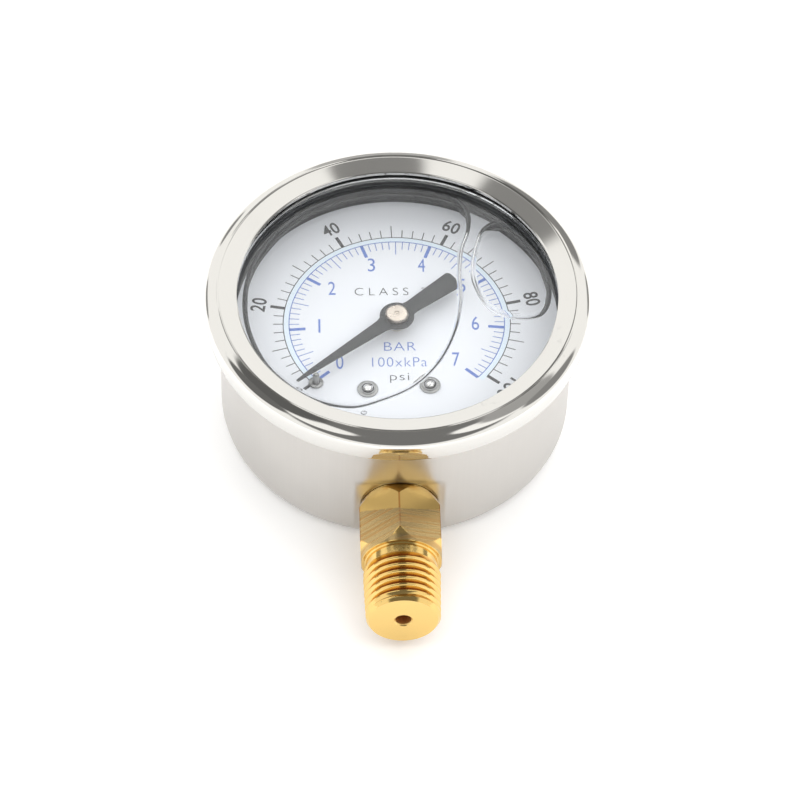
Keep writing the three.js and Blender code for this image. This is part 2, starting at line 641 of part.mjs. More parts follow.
function pinion() {
  const teeth = [];
  const firstAngle = meshAngle + Math.PI + pinionPitch / 2;
  for (let tooth = 0; tooth < PINION_TEETH; tooth += 1) {
    teeth.push(...toothPoints([0, 0], pinionRadius, firstAngle + tooth * pinionPitch, pinionPitch));
  }
  const gear = slab(shapeFrom(teeth), SECTOR_BOTTOM - 0.2, SECTOR_TOP + 0.2);
  const arbor = turned([
    [0, arborFoot], [ARBOR_RADIUS, arborFoot], [ARBOR_RADIUS, LINK_BOTTOM - 0.1],
    [ARBOR_SHOULDER_RADIUS, LINK_BOTTOM - 0.1], [ARBOR_SHOULDER_RADIUS, LINK_TOP], [ARBOR_RADIUS, LINK_TOP],
    [ARBOR_RADIUS, POINTER_TOP + ARBOR_OVERHANG], [0, POINTER_TOP + ARBOR_OVERHANG],
  ], COARSE);
  return join(gear, arbor);
}
place('pinion_arbor', pinion(), 'steel');

class Spiral extends THREE.Curve {
  getPoint(fraction, target = new THREE.Vector3()) {
    const radius = SPRING_START_RADIUS + SPRING_GROWTH * fraction;
    const angle = 2 * Math.PI * SPRING_TURNS * fraction + SPRING_ANGLE;
    return target.set(...polar(radius, angle), (LINK_BOTTOM + LINK_TOP) / 2);
  }
}
const ribbon = shapeFrom([
  [-SPRING_HALF_WIDE, -SPRING_HALF_THICK], [SPRING_HALF_WIDE, -SPRING_HALF_THICK],
  [SPRING_HALF_WIDE, SPRING_HALF_THICK], [-SPRING_HALF_WIDE, SPRING_HALF_THICK],
]);
place('hairspring', new THREE.ExtrudeGeometry(ribbon, {
  extrudePath: new Spiral(),
  steps: 18 * SPRING_TURNS,
  bevelEnabled: false,
}), 'bronze');
place('hairspring_stud', disc(SPRING_STUD_RADIUS, BACK_PLATE_TOP, LINK_TOP, COARSE), 'brass')
  .position.set(...polar(SPRING_STUD_PLACE, SPRING_ANGLE), 0);

function linkBar() {
  const across = LINK_END.x - linkPivot[0];
  const up = LINK_END.y - linkPivot[1];
  const reach = Math.hypot(across, up);
  const bar = block(
    [-LINK_OVERHANG, -LINK_HALF_WIDTH, LINK_BOTTOM],
    [reach + LINK_OVERHANG, LINK_HALF_WIDTH, LINK_TOP],
  );
  const pivotHole = disc(LINK_PIVOT_BORE, 0, FRONT_PLATE_TOP, COARSE);
  const tipHole = disc(LINK_TIP_BORE, 0, FRONT_PLATE_TOP, COARSE).translate(reach, 0, 0);
  return cut(bar, pivotHole, tipHole).rotateZ(Math.atan2(up, across)).translate(...linkPivot, 0);
}
place('link', linkBar(), 'brass');

const pivotHeadTop = LINK_BOTTOM - 0.05;
const pivotHeadBottom = LINK_BOTTOM - 0.25;
place('link_pivot_pin', turned([
  [0, pivotHeadBottom], [LINK_PIN_HEAD, pivotHeadBottom], [LINK_PIN_HEAD, pivotHeadTop],
  [LINK_PIN_RADIUS, pivotHeadTop], [LINK_PIN_RADIUS, SECTOR_TOP + 0.1], [0, SECTOR_TOP + 0.1],
], COARSE), 'steel').position.set(...linkPivot, 0);

const tipHeadBottom = LINK_TOP + 0.1;
const tipHeadTop = LINK_TOP + 0.25;
place('link_tip_pin', turned([
  [0, BACK_PLATE_BOTTOM], [LINK_PIN_RADIUS, BACK_PLATE_BOTTOM], [LINK_PIN_RADIUS, tipHeadBottom],
  [LINK_PIN_HEAD, tipHeadBottom], [LINK_PIN_HEAD, tipHeadTop], [0, tipHeadTop],
], COARSE), 'steel').position.set(LINK_END.x, LINK_END.y, 0);

// ---- pointer: tapered blade with a broad tail, its hub and the domed cap over it ----
function pointerBlade() {
  const half = [
    [POINTER_TIP, 0], [POINTER_TIP - 3.2, 0.62], [2.9, 1.35], [1.2, 1.75], [-1.2, 1.75], [-4, 1.7],
    [-POINTER_TAIL + 0.6, 2.2], [-POINTER_TAIL, 1.7],
  ];
  const mirrored = half.slice(1).map(([x, y]) => [x, -y]).reverse();
  const outline = shapeFrom([...half, ...mirrored]);
  outline.holes.push(roundHole(0, 0, ARBOR_BORE));
  return slab(outline, POINTER_BOTTOM, POINTER_TOP).rotateZ(POINTER_REST);
}
place('pointer', pointerBlade(), 'dark');

const hubFlangeTop = POINTER_BOTTOM - 0.05;
const hubFlangeBottom = hubFlangeTop - HUB_FLANGE_THICK;
const hubTop = hubFlangeBottom - 0.05;
place('pointer_hub', washer(ARBOR_BORE, HUB_RADIUS, DIAL_TOP + 1, hubTop, COARSE), 'brass');
place('pointer_flange', washer(
  ARBOR_BORE,
  HUB_FLANGE_RADIUS,
  hubFlangeBottom,
  hubFlangeTop,
  COARSE,
), 'steel');

const capUnderside = POINTER_TOP + 0.05;
const capCeiling = POINTER_TOP + ARBOR_OVERHANG + 0.1;
place('pointer_cap', turned([
  [0, capCeiling], [ARBOR_HOLE, capCeiling], [ARBOR_HOLE, capUnderside], [CAP_RADIUS, capUnderside],
  [CAP_RADIUS, capUnderside + 0.7], [CAP_EDGE_RADIUS, POINTER_TOP + CAP_HEIGHT - 0.2],
  [0, POINTER_TOP + CAP_HEIGHT],
], COARSE), 'steel');

// ---- stem seal, restrictor and fill plug ----
const sealInside = NECK_RADIUS + 0.05;
place('stem_seal', alongStem(
  washer(sealInside, sealInside + STEM_SEAL_THICK, STEM_SEAL_START, STEM_SEAL_END),
), 'rubber');

const restrictorEnd = -STEM_END - RESTRICTOR_DEPTH;
place('port_restrictor', alongStem(washer(
  RESTRICTOR_RADIUS,
  PORT_RADIUS - RUNNING_GAP,
  restrictorEnd - RESTRICTOR_LENGTH,
  restrictorEnd,
  COARSE,
)), 'brass');

const fillPlug = turned([
  [0, PLUG_INNER], [PLUG_SHANK_RADIUS - 0.8, PLUG_INNER], [PLUG_SHANK_RADIUS, PLUG_INNER + 1.4],
  [PLUG_SHANK_RADIUS, PLUG_SHOULDER], [PLUG_CAP_RADIUS, PLUG_SHOULDER], [PLUG_CAP_RADIUS, PLUG_OUTER - 0.7],
  [PLUG_CAP_RADIUS - 0.8, PLUG_OUTER], [0, PLUG_OUTER],
]).rotateX(-Math.PI / 2).translate(0, 0, FILL_HEIGHT);
place('fill_plug', fillPlug, 'rubber');

export default gauge;
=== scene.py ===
"""Liquid-filled pressure gauge: fine meshes, finishes, floor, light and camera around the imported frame."""

import json
import math

import bmesh
import bpy
from bpy.props import FloatProperty, FloatVectorProperty, IntProperty, PointerProperty
from mathutils import Matrix, Vector
from mathutils.geometry import interpolate_bezier


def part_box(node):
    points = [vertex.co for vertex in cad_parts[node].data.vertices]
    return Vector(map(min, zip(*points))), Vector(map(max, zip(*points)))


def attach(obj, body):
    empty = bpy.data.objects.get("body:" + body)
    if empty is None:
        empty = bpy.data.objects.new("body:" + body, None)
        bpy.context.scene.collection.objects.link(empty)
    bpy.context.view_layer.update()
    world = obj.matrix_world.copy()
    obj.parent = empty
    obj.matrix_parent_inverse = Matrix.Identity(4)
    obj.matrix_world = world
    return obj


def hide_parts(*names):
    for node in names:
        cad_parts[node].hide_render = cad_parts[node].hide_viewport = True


bl_info = {
    "name": "Pressure Gauge Looks",
    "version": (1, 0, 0),
    "blender": (4, 5, 0),
    "location": "View3D > Sidebar > Gauge",
    "description": "Builds the fine pieces and finishes of a liquid-filled pressure gauge",
    "category": "Object",
}

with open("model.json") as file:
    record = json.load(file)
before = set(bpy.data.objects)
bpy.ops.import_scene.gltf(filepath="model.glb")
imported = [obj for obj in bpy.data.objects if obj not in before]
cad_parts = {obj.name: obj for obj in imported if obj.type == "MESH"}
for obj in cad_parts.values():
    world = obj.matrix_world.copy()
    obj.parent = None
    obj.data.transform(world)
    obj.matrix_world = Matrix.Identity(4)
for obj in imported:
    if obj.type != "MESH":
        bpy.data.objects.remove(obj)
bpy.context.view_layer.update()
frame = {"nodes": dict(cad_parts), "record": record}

MM = 0.001
TURN = 2 * math.pi
UP = Vector((0, 0, 1))

DIAL_LOW, DIAL_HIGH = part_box("dial_plate")
BEZEL_LOW, BEZEL_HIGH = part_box("bezel_ring")
CASE_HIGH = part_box("case")[1]
WINDOW_LOW, WINDOW_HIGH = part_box("window")
SEAL_LOW, SEAL_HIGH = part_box("window_seal")
STEM_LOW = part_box("socket_stem")[0]
POINTER_LOW, POINTER_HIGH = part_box("pointer")
FLANGE_LOW, FLANGE_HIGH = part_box("pointer_flange")
CAP_LOW, CAP_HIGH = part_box("pointer_cap")
PIN_LOW, PIN_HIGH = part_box("stop_pin")
PLUG_LOW, PLUG_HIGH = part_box("fill_plug")

DIAL_TOP = DIAL_HIGH.z
FINE_SEGMENTS = 288

CASE_RADIUS = 31.7 * MM
FILL_HEIGHT = 10.5 * MM
SEAL_FLANGE_LOW = 27.65 * MM
BEZEL_INNER = 32.25 * MM
POINTER_REST = math.radians(219)

# The stem, by distance from the dial's axis and radius about its own axis.
STEM_AXIS_Z = 8.6 * MM
HEXAGON_START = 31.1 * MM
HEXAGON_END = 43.3 * MM
HEXAGON_RIM = 6.95 * MM
HEXAGON_CORNER = 8.2 * MM
HEXAGON_BACK = 2.8 * MM
HEXAGON_FRONT = 2.2 * MM
THREAD_START = 45.2 * MM
THREAD_RADIUS = 6.85 * MM
THREAD_TAPER = 1 / 32


# ---------------------------------------------------------------- sizes and colours


def length(name, description, default):
    """A length property, given in millimetres."""
    return FloatProperty(name=name, description=description, default=default * MM, unit="LENGTH")


def turn(name, description, default):
    """An angle property, given in degrees."""
    return FloatProperty(name=name, description=description, default=math.radians(default), unit="ROTATION")


class GaugeSizes(bpy.types.PropertyGroup):
    """Sizes that the frame's boxes don't give."""

    case_wall: length("Case wall", "Sheet of the drawn case", 0.8)
    case_corner: length("Case corner", "Outside radius between back and side", 3)
    pad_offset: length("Pad offset", "From the dial's axis to the flat pad round the stem", 30.65)
    pad_top: length("Pad top", "Height where the flat pad ends", 15)
    bezel_opening: length("Bezel opening", "Radius of the hole in the bezel", 28.5)
    bezel_ridge: length("Bezel ridge", "Radius of the bezel's highest circle", 32.15)
    bezel_sheet: length("Bezel sheet", "Sheet of the rolled bezel", 0.65)
    window_step: length("Window step", "Radius of the window's thick middle", 28.8)
    window_rim: length("Window rim", "Height of the underside of the window's thin rim", 28.4)
    seal_inner: length("Seal inner radius", "Inner radius of the seal's skirt", 28.9)
    bubble_depth: length("Bubble depth", "Thickness of the air under the window", 2.3)
    hexagon: length("Hexagon", "Across the flats", 14.2)
    hexagon_turn: turn("Hexagon turn", "How far a corner is turned from straight up", 2.5)
    thread_pitch: length("Thread pitch", "Distance between crests", 1.411)
    thread_depth: length("Thread depth", "From crest to root", 1.0)
    port_radius: length("Port radius", "Radius of the pressure hole", 1.4)
    scale_zero: turn("Scale zero", "Direction of the zero mark", 221.7)
    scale_step: turn("Scale step", "Angle for one psi", 2.611)
    scale_outer: length("Outer arc", "Radius of the psi arc", 20.35)
    scale_inner: length("Inner arc", "Radius of the bar arc", 19.3)
    psi_top: IntProperty(name="Highest psi", description="Last mark of the psi scale", default=100)
    bar_top: IntProperty(name="Highest bar", description="Last mark of the bar scale", default=7)


def colour(name, description, red, green, blue):
    """A colour property with its linear default."""
    return FloatVectorProperty(name=name, description=description, subtype="COLOR", size=3, min=0, max=1,
                               default=(red, green, blue))


class GaugeColours(bpy.types.PropertyGroup):
    """Base colours of the gauge's finishes."""

    steel: colour("Satin steel", "Drawn stainless case", 0.60, 0.58, 0.555)
    polished: colour("Polished steel", "Bezel, screws and cap", 0.74, 0.73, 0.705)
    brass: colour("Turned brass", "Stem and hexagon", 0.81, 0.56, 0.2)
    # Dark brass paints shade into the thread roots and along the hexagon corners, and also colours the
    # milling tool marks.
    brass_dark: colour("Dark brass for painted shade and tool marks", "Thread roots and tool marks", 0.5, 0.19, 0.045)
    milled: colour("Milled brass", "Dull flats of the hexagon", 0.44, 0.33, 0.17)
    works: colour("Movement brass", "Plates, wheels and pillars", 0.75, 0.56, 0.26)
    bronze: colour("Tube bronze", "Bourdon tube and hairspring", 0.55, 0.32, 0.17)
    enamel: colour("Dial enamel", "White dial", 0.84, 0.86, 0.90)
    ink_black: colour("Black ink", "Psi scale", 0.03, 0.03, 0.032)
    ink_blue: colour("Blue ink", "Bar scale", 0.1, 0.19, 0.56)
    band: colour("Scale band", "Pale ring between the two arcs", 0.78, 0.88, 0.97)
    pointer: colour("Pointer paint", "Dark grey pointer", 0.035, 0.037, 0.038)
    rubber: colour("Rubber", "Seal and plug", 0.018, 0.019, 0.019)
    floor: colour("Floor", "Plain pale floor", 0.93, 0.93, 0.93)


class StageSettings(bpy.types.PropertyGroup):
    """Where the camera stands and how bright the studio is."""

    elevation: turn("Elevation", "Camera above the horizon", 51.42)
    azimuth: turn("Azimuth", "Camera round the gauge", -3.05)
    roll: turn("Roll", "Camera tilt", 1.955)
    distance: length("Distance", "Camera to the aim point", 660.2)
    aim: FloatVectorProperty(name="Aim", description="Point in the middle of the view", size=3,
                             subtype="TRANSLATION", unit="LENGTH",
                             default=(0.49 * MM, -10.66 * MM, 13.5 * MM))
    lens: FloatProperty(name="Lens", description="Focal length in millimetres", default=165.7)
    studio: FloatProperty(name="Studio", description="Brightness of the white studio", default=1.17)
    lamp: FloatProperty(name="Lamp", description="Strength of the broad soft lamp overhead", default=2.3)


# ---------------------------------------------------------------- meshes


def make_object(name, points, faces, sharp=math.radians(32)):
    """A mesh object from points in metres, welded, with its normals out and its edges sharp past an angle."""
    mesh = bpy.data.meshes.new(name)
    mesh.from_pydata([tuple(p) for p in points], [], faces)
    work = bmesh.new()
    work.from_mesh(mesh)
    bmesh.ops.remove_doubles(work, verts=work.verts, dist=1e-7)
    bmesh.ops.dissolve_degenerate(work, edges=work.edges, dist=1e-7)
    bmesh.ops.recalc_face_normals(work, faces=work.faces)
    work.to_mesh(mesh)
    work.free()
    piece = bpy.data.objects.new(name, mesh)
    bpy.context.scene.collection.objects.link(piece)
    smooth(piece, sharp)
    return piece


def smooth(piece, sharp):
    """Shades the piece smooth, apart from edges past an angle."""
    piece.data.shade_smooth()
    piece.data.set_sharp_from_angle(angle=sharp)


def skin(rows, closed=True):
    """Points and faces of a surface through rows that all have the same number of points."""
    count = len(rows[0])
    points = [p for row in rows for p in row]
    faces = []
    for row in range(len(rows) - 1):
        for column in range(count if closed else count - 1):
            after = (column + 1) % count
            low, high = row * count, (row + 1) * count
            faces.append((low + column, low + after, high + after, high + column))
    return points, faces


def flat_shaded_level(piece):
    """Shades the piece's level faces flat, so that nothing seen through them is bent by their edges."""
    for face in piece.data.polygons:
        face.use_smooth = abs(face.normal.z) < 0.9999


def circle_row(radius, height, segments=FINE_SEGMENTS):
    """A closed row of points round the Z axis."""
    return [Vector((radius * math.cos(TURN * i / segments), radius * math.sin(TURN * i / segments), height))
            for i in range(segments)]


def lathe(name, profile, segments=FINE_SEGMENTS, sharp=math.radians(32)):
    """A piece turned about the Z axis from (radius, height) pairs in metres."""
    points, faces = skin([circle_row(radius, height, segments) for radius, height in profile])
    return make_object(name, points, faces, sharp)


def rounded(profile, radius, steps=5):
    """The profile with each corner eased over a length of radius."""
    eased = [profile[0]]
    for before, corner, after in zip(profile, profile[1:], profile[2:]):
        before, corner, after = Vector(before), Vector(corner), Vector(after)
        reach = min(radius, (before - corner).length * 0.45, (after - corner).length * 0.45)
        start = corner + (before - corner).normalized() * reach
        end = corner + (after - corner).normalized() * reach
        knots = (start, start.lerp(corner, 0.6), end.lerp(corner, 0.6), end)
        eased += [tuple(p.to_2d()) for p in interpolate_bezier(*[knot.to_3d() for knot in knots], steps)]
    return eased + [profile[-1]]


def arc(centre, across, up, start, end, steps):
    """Points on an ellipse about centre, from one angle to another."""
    angles = [start + (end - start) * step / steps for step in range(steps + 1)]
    return [(centre[0] + across * math.cos(a), centre[1] + up * math.sin(a)) for a in angles]


def sweep(start, leave, arrive, end, steps):
    """Points of a smooth curve that leaves the start toward one point and reaches the end from another."""
    points = []
    for step in range(steps + 1):
        share = step / steps
        rest = 1 - share
        weights = (rest**3, 3 * share * rest**2, 3 * share**2 * rest, share**3)
        corners = (start, leave, arrive, end)
        points.append(tuple(sum(w * corner[i] for w, corner in zip(weights, corners)) for i in (0, 1)))
    return points


def prism(name, outline, low, high, sharp=math.radians(32)):
    """A closed piece from a flat outline of (x, y) points between two heights."""
    count = len(outline)
    points = [Vector((x, y, low)) for x, y in outline] + [Vector((x, y, high)) for x, y in outline]
    faces = [tuple(range(count))[::-1], tuple(range(count, 2 * count))]
    faces += [(i, (i + 1) % count, count + (i + 1) % count, count + i) for i in range(count)]
    return make_object(name, points, faces, sharp)


def apply_modifiers(piece):
    """Leaves the piece as a plain mesh with its modifiers worked into it."""
    bpy.context.view_layer.update()
    finished = bpy.data.meshes.new_from_object(piece.evaluated_get(bpy.context.evaluated_depsgraph_get()))
    piece.modifiers.clear()
    piece.data = finished
    return piece


def bevelled(piece, width, segments=3, limit=math.radians(30)):
    """Eases the piece's sharp edges."""
    modifier = piece.modifiers.new("edges", "BEVEL")
    modifier.width = width
    modifier.segments = segments
    modifier.limit_method = "ANGLE"
    modifier.angle_limit = limit
    apply_modifiers(piece)
    smooth(piece, math.radians(40))
    return piece


def cut_by(piece, tool):
    """Takes the tool's space out of the piece, and removes the tool."""
    modifier = piece.modifiers.new("cut", "BOOLEAN")
    modifier.operation = "DIFFERENCE"
    modifier.solver = "EXACT"
    modifier.object = tool
    apply_modifiers(piece)
    bpy.data.objects.remove(tool)
    return piece


def joined(name, pieces):
    """One object from several."""
    work = bmesh.new()
    for piece in pieces:
        piece.data.transform(piece.matrix_world)
        work.from_mesh(piece.data)
    mesh = bpy.data.meshes.new(name)
    work.to_mesh(mesh)
    work.free()
    for piece in pieces:
        bpy.data.objects.remove(piece)
    whole = bpy.data.objects.new(name, mesh)
    bpy.context.scene.collection.objects.link(whole)
    return whole


def moved(piece, matrix):
    """Turns or moves the piece's mesh itself."""
    piece.data.transform(matrix)
    return piece


ALONG_STEM = Matrix.Translation((0, 0, STEM_AXIS_Z)) @ Matrix.Rotation(math.pi / 2, 4, "X")
ALONG_TWELVE = Matrix.Rotation(-math.pi / 2, 4, "X")
AT_FILL_HOLE = Matrix.Translation((0, 0, FILL_HEIGHT)) @ ALONG_TWELVE


def finish_piece(piece, material, body, slot, *nodes):
    """Gives the piece its finish and its body, and hides the CAD nodes it stands for. The slot is not used.
    """
    piece.data.materials.clear()
    piece.data.materials.append(material)
    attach(piece, body)
    if nodes:
        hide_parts(*nodes)
    return piece


# ---------------------------------------------------------------- shader arithmetic


class Wire:
    """A node's output. Arithmetic on it adds the Math nodes that work it out."""

    def __init__(self, paint, socket):
        self.paint = paint
        self.socket = socket

    def __add__(self, other):
        return self.paint.maths("ADD", self, other)

    __radd__ = __add__

    def __sub__(self, other):
        return self.paint.maths("SUBTRACT", self, other)

    def __rsub__(self, other):
        return self.paint.maths("SUBTRACT", other, self)

    def __mul__(self, other):
        return self.paint.maths("MULTIPLY", self, other)

    __rmul__ = __mul__

    def __abs__(self):
        return self.paint.maths("ABSOLUTE", self)


class Paint:
    """The node tree of one finish."""

    def __init__(self, tree):
        self.tree = tree
        tree.nodes.clear()

    def node(self, kind, settings, inputs, output=0):
        """Any node: its type, its settings, the values or links of its sockets, and the wanted output."""
        made = self.tree.nodes.new(kind)
        for key, value in settings.items():
            setattr(made, key, value)
        for key, value in inputs.items():
            if isinstance(value, Wire):
                self.tree.links.new(value.socket, made.inputs[key])
            else:
                made.inputs[key].default_value = value
        return Wire(self, made.outputs[output]) if len(made.outputs) else None

    def maths(self, operation, *values):
        return self.node("ShaderNodeMath", {"operation": operation}, dict(enumerate(values)))

    def place(self):
        """Where a point is on the object, in metres."""
        return self.node("ShaderNodeTexCoord", {}, {}, "Object")

    def axes(self, vector=None):
        """The three numbers of a vector, by default of the place."""
        split = self.node("ShaderNodeSeparateXYZ", {}, {0: vector or self.place()})
        return [Wire(self, socket) for socket in split.socket.node.outputs]

    def vector(self, x, y, z):
        return self.node("ShaderNodeCombineXYZ", {}, {0: x, 1: y, 2: z})

    def scaled(self, factors):
        """The place multiplied along each axis."""
        return self.node("ShaderNodeVectorMath", {"operation": "MULTIPLY"}, {0: self.place(), 1: factors})

    def noise(self, vector, scale, detail=3.0, roughness=0.5):
        """Soft noise from 0 to 1."""
        return self.node("ShaderNodeTexNoise", {"normalize": True},
                         {"Vector": vector, "Scale": scale, "Detail": detail, "Roughness": roughness})

    def remap(self, value, low, high, new_low, new_high):
        """A value eased from one range into another."""
        sockets = {"Value": value, "From Min": low, "From Max": high, "To Min": new_low, "To Max": new_high}
        return self.node("ShaderNodeMapRange", {"interpolation_type": "SMOOTHSTEP"}, sockets)

    def blend(self, share, first, second):
        """A colour between two colours."""
        sockets = {0: share, 6: with_alpha(first), 7: with_alpha(second)}
        return self.node("ShaderNodeMix", {"data_type": "RGBA"}, sockets, 2)

    def bump(self, height, strength, distance):
        return self.node("ShaderNodeBump", {}, {"Height": height, "Strength": strength, "Distance": distance})

    def principled(self, values):
        """The surface of the finish."""
        shader = self.node("ShaderNodeBsdfPrincipled", {}, values)
        self.node("ShaderNodeOutputMaterial", {}, {"Surface": shader})

    def clear(self, values):
        """A clear surface that bends what is seen through it and lets the studio's light straight in."""
        shader = self.node("ShaderNodeBsdfPrincipled", {}, {"Transmission Weight": 1.0, **values})
        open_way = self.node("ShaderNodeBsdfTransparent", {}, {"Color": (0.995, 0.997, 1, 1)})
        shadow = self.node("ShaderNodeLightPath", {}, {}, "Is Shadow Ray")
        soft = self.node("ShaderNodeLightPath", {}, {}, "Is Diffuse Ray")
        lamp = self.maths("MAXIMUM", shadow, soft)
        both = self.node("ShaderNodeMixShader", {}, {0: lamp, 1: shader, 2: open_way})
        self.node("ShaderNodeOutputMaterial", {}, {"Surface": both})


def with_alpha(value):
    """A plain colour with its alpha, or a wire as it is."""
    return value if isinstance(value, Wire) else (*value, 1)


def new_finish(name):
    """A material and its empty node tree."""
    material = bpy.data.materials.new(name)
    material.use_nodes = True
    return material, Paint(material.node_tree)


def colours():
    return bpy.context.scene.gauge_colours


def sizes():
    return bpy.context.scene.gauge_sizes


def satin_steel():
    """Drawn stainless sheet with faint lines down the wall and soft clouding."""
    material, paint = new_finish("satin_steel")
    shade = Vector(colours().steel)
    lines = paint.noise(paint.scaled((2600, 2600, 40)), 1.0, 2.0)
    clouds = paint.noise(paint.place(), 45.0)
    rub = paint.remap(clouds, 0.3, 0.7, 0.0, 1.0)
    paint.principled({
        "Base Color": paint.blend(rub * 0.5 + lines * 0.4, shade * 0.93, shade * 1.05),
        "Metallic": 1.0,
        "Roughness": 0.27 + lines * 0.06 + rub * 0.04,
        "Normal": paint.bump(lines, 0.08, 0.006 * MM),
    })
    return material


def polished_steel():
    """Bright rolled sheet with hair lines round the axis and a few rub marks."""
    material, paint = new_finish("polished_steel")
    shade = Vector(colours().polished)
    x, y, z = paint.axes()
    radius = paint.maths("SQRT", x * x + y * y)
    hair = paint.noise(paint.vector(radius * 9000, z * 9000, 0.0), 1.0, 2.0)
    marks = paint.remap(paint.noise(paint.place(), 240.0, 5.0, 0.65), 0.62, 0.72, 0.0, 1.0)
    waves = paint.noise(paint.place(), 70.0, 0.0)
    paint.principled({
        "Base Color": paint.blend(marks, shade, shade * 0.94),
        "Metallic": 1.0,
        "Roughness": 0.045 + hair * 0.05 + marks * 0.04,
        "Normal": paint.bump(hair + waves * 700, 0.05, 0.004 * MM),
    })
    return material


def clear_window():
    """Clear moulded plastic with hardly any haze."""
    material, paint = new_finish("clear_window")
    haze = paint.noise(paint.place(), 90.0, 2.0)
    paint.clear({
        "Base Color": (0.985, 0.992, 0.992, 1),
        "Roughness": paint.remap(haze, 0.6, 0.8, 0.0, 0.01),
        "IOR": 1.49,
    })
    return material


def glycerine():
    """Clear liquid, very slightly cool."""
    material, paint = new_finish("glycerine")
    streaks = paint.noise(paint.scaled((60, 60, 10)), 1.0, 2.0)
    paint.clear({
        "Base Color": (0.985, 0.99, 1.0, 1),
        "Roughness": paint.remap(streaks, 0.7, 0.9, 0.0, 0.006),
        "IOR": 1.47,
    })
    return material


def black_rubber():
    """Moulded rubber with a fine grain and a dull shine on its high spots."""
    material, paint = new_finish("black_rubber")
    shade = Vector(colours().rubber)
    grain = paint.noise(paint.place(), 2600.0, 3.0)
    dust = paint.remap(paint.noise(paint.place(), 160.0), 0.45, 0.75, 0.0, 1.0)
    paint.principled({
        "Base Color": paint.blend(dust, shade, shade * 2.0),
        "Roughness": 0.34 + grain * 0.2,
        "Specular IOR Level": 0.35,
        "Normal": paint.bump(grain, 0.2, 0.02 * MM),
    })
    return material


def dial_enamel():
    """White enamel with a faint orange-peel and a light clear coat."""
    material, paint = new_finish("dial_enamel")
    shade = Vector(colours().enamel)
    peel = paint.noise(paint.place(), 900.0, 2.0)
    tone = paint.noise(paint.place(), 30.0)
    paint.principled({
        "Base Color": paint.blend(tone, shade * 0.985, shade),
        "Roughness": 0.38 + peel * 0.08,
        "Normal": paint.bump(peel, 0.05, 0.01 * MM),
        "Coat Weight": 0.15,
    })
    return material


def ink(name, shade):
    """Screen-printed ink, a little thinner in places."""
    material, paint = new_finish(name)
    shade = Vector(shade)
    thin = paint.remap(paint.noise(paint.place(), 1500.0, 3.0), 0.5, 0.8, 0.0, 1.0)
    lighter = shade.lerp(Vector(colours().enamel), 0.12)
    paint.principled({
        "Base Color": paint.blend(thin, shade, lighter),
        "Roughness": 0.5 + thin * 0.15,
        "Normal": paint.bump(thin, 0.05, 0.003 * MM),
    })
    return material


def pointer_paint():
    """Dark satin paint with a fine speckle."""
    material, paint = new_finish("pointer_paint")
    shade = Vector(colours().pointer)
    speck = paint.noise(paint.place(), 3000.0, 3.0)
    paint.principled({
        "Base Color": paint.blend(speck, shade * 0.8, shade * 1.3),
        "Roughness": 0.42 + speck * 0.12,
        "Normal": paint.bump(speck, 0.1, 0.01 * MM),
    })
    return material


def turned_brass():
    """Bright stem brass: turning lines, dull milled flats, and painted shade as dark lines along the hexagon
    corners and in the thread roots.
    """
    material, paint = new_finish("turned_brass")
    bright = Vector(colours().brass)
    dark = Vector(colours().brass_dark)
    x, y, z = paint.axes()
    off_axis = z - STEM_AXIS_Z
    radius = paint.maths("SQRT", x * x + off_axis * off_axis)
    toward_corner = paint.remap(radius, HEXAGON_RIM, HEXAGON_CORNER, 0.0, 1.0)
    ragged = paint.noise(paint.vector(x * 900, y * 900, z * 900), 1.0, 2.0)
    start_line = abs(x) * 0.35 - y + ragged * 0.5 * MM
    past_back = paint.remap(start_line, 37.4 * MM, 37.7 * MM, 0.0, 1.0)
    before_front = paint.remap(0.0 - y + toward_corner * HEXAGON_FRONT, 43.4 * MM, 43.1 * MM, 0.0, 1.0)
    outward = paint.remap(radius, HEXAGON_RIM, 7.05 * MM, 0.0, 1.0)
    slant = y - x * 0.22
    turning = paint.noise(paint.vector(y * 5200, x * 40, z * 40), 1.0, 2.0)
    milling = paint.noise(paint.vector(slant * 2200, x * 30, z * 30), 1.0, 1.0)
    milled = past_back * before_front * outward
    lines = turning + (milling - turning) * milled
    strong = paint.remap(milling, 0.35, 0.65, 0.0, 1.0) * milled
    crest = THREAD_RADIUS + (y + THREAD_START) * THREAD_TAPER
    # Painted shade: the thread roots are darkened, on the thread but not on the end face.
    root = paint.remap(crest - radius, 0.25 * MM, 0.95 * MM, 0.0, 1.0)
    on_thread = paint.remap(y, -45.0 * MM, -45.3 * MM, 0.0, 1.0)
    off_face = paint.remap(y, -55.3 * MM, -55.0 * MM, 0.0, 1.0)
    in_port = paint.remap(radius, 1.6 * MM, 1.45 * MM, 0.0, 1.0)
    # Painted shade: a thin dark line along each hexagon corner.
    corner_shade_line = paint.remap(radius, 8.07 * MM, 8.14 * MM, 0.0, 1.0)
    # Painted shade from the thread roots and the hexagon corners, mixed with the real milling tool marks.
    marks_and_shade = root * on_thread * off_face * 0.85 + strong * 0.55 + corner_shade_line * 0.7
    shaded_and_marked = paint.blend(marks_and_shade, bright, dark)
    paint.principled({
        "Base Color": paint.blend(milled * 0.8 - strong * 0.4, shaded_and_marked, Vector(colours().milled)),
        "Metallic": 1.0 - in_port * 0.45,
        "Roughness": 0.08 + lines * 0.1 + marks_and_shade * 0.14 + milled * 0.12 + in_port * 0.3,
        "Normal": paint.bump(lines, 0.25 + milled * 0.35, 0.03 * MM),
    })
    return material


def plain_metal(name, shade, roughness, grain_scale):
    """Small machined metal pieces with a fine grain."""
    material, paint = new_finish(name)
    shade = Vector(shade)
    grain = paint.noise(paint.place(), grain_scale, 4.0)
    paint.principled({
        "Base Color": paint.blend(grain, shade * 0.86, shade * 1.08),
        "Metallic": 1.0,
        "Roughness": roughness + grain * 0.12,
        "Normal": paint.bump(grain, 0.1, 0.004 * MM),
    })
    return material


FINISHES = {}


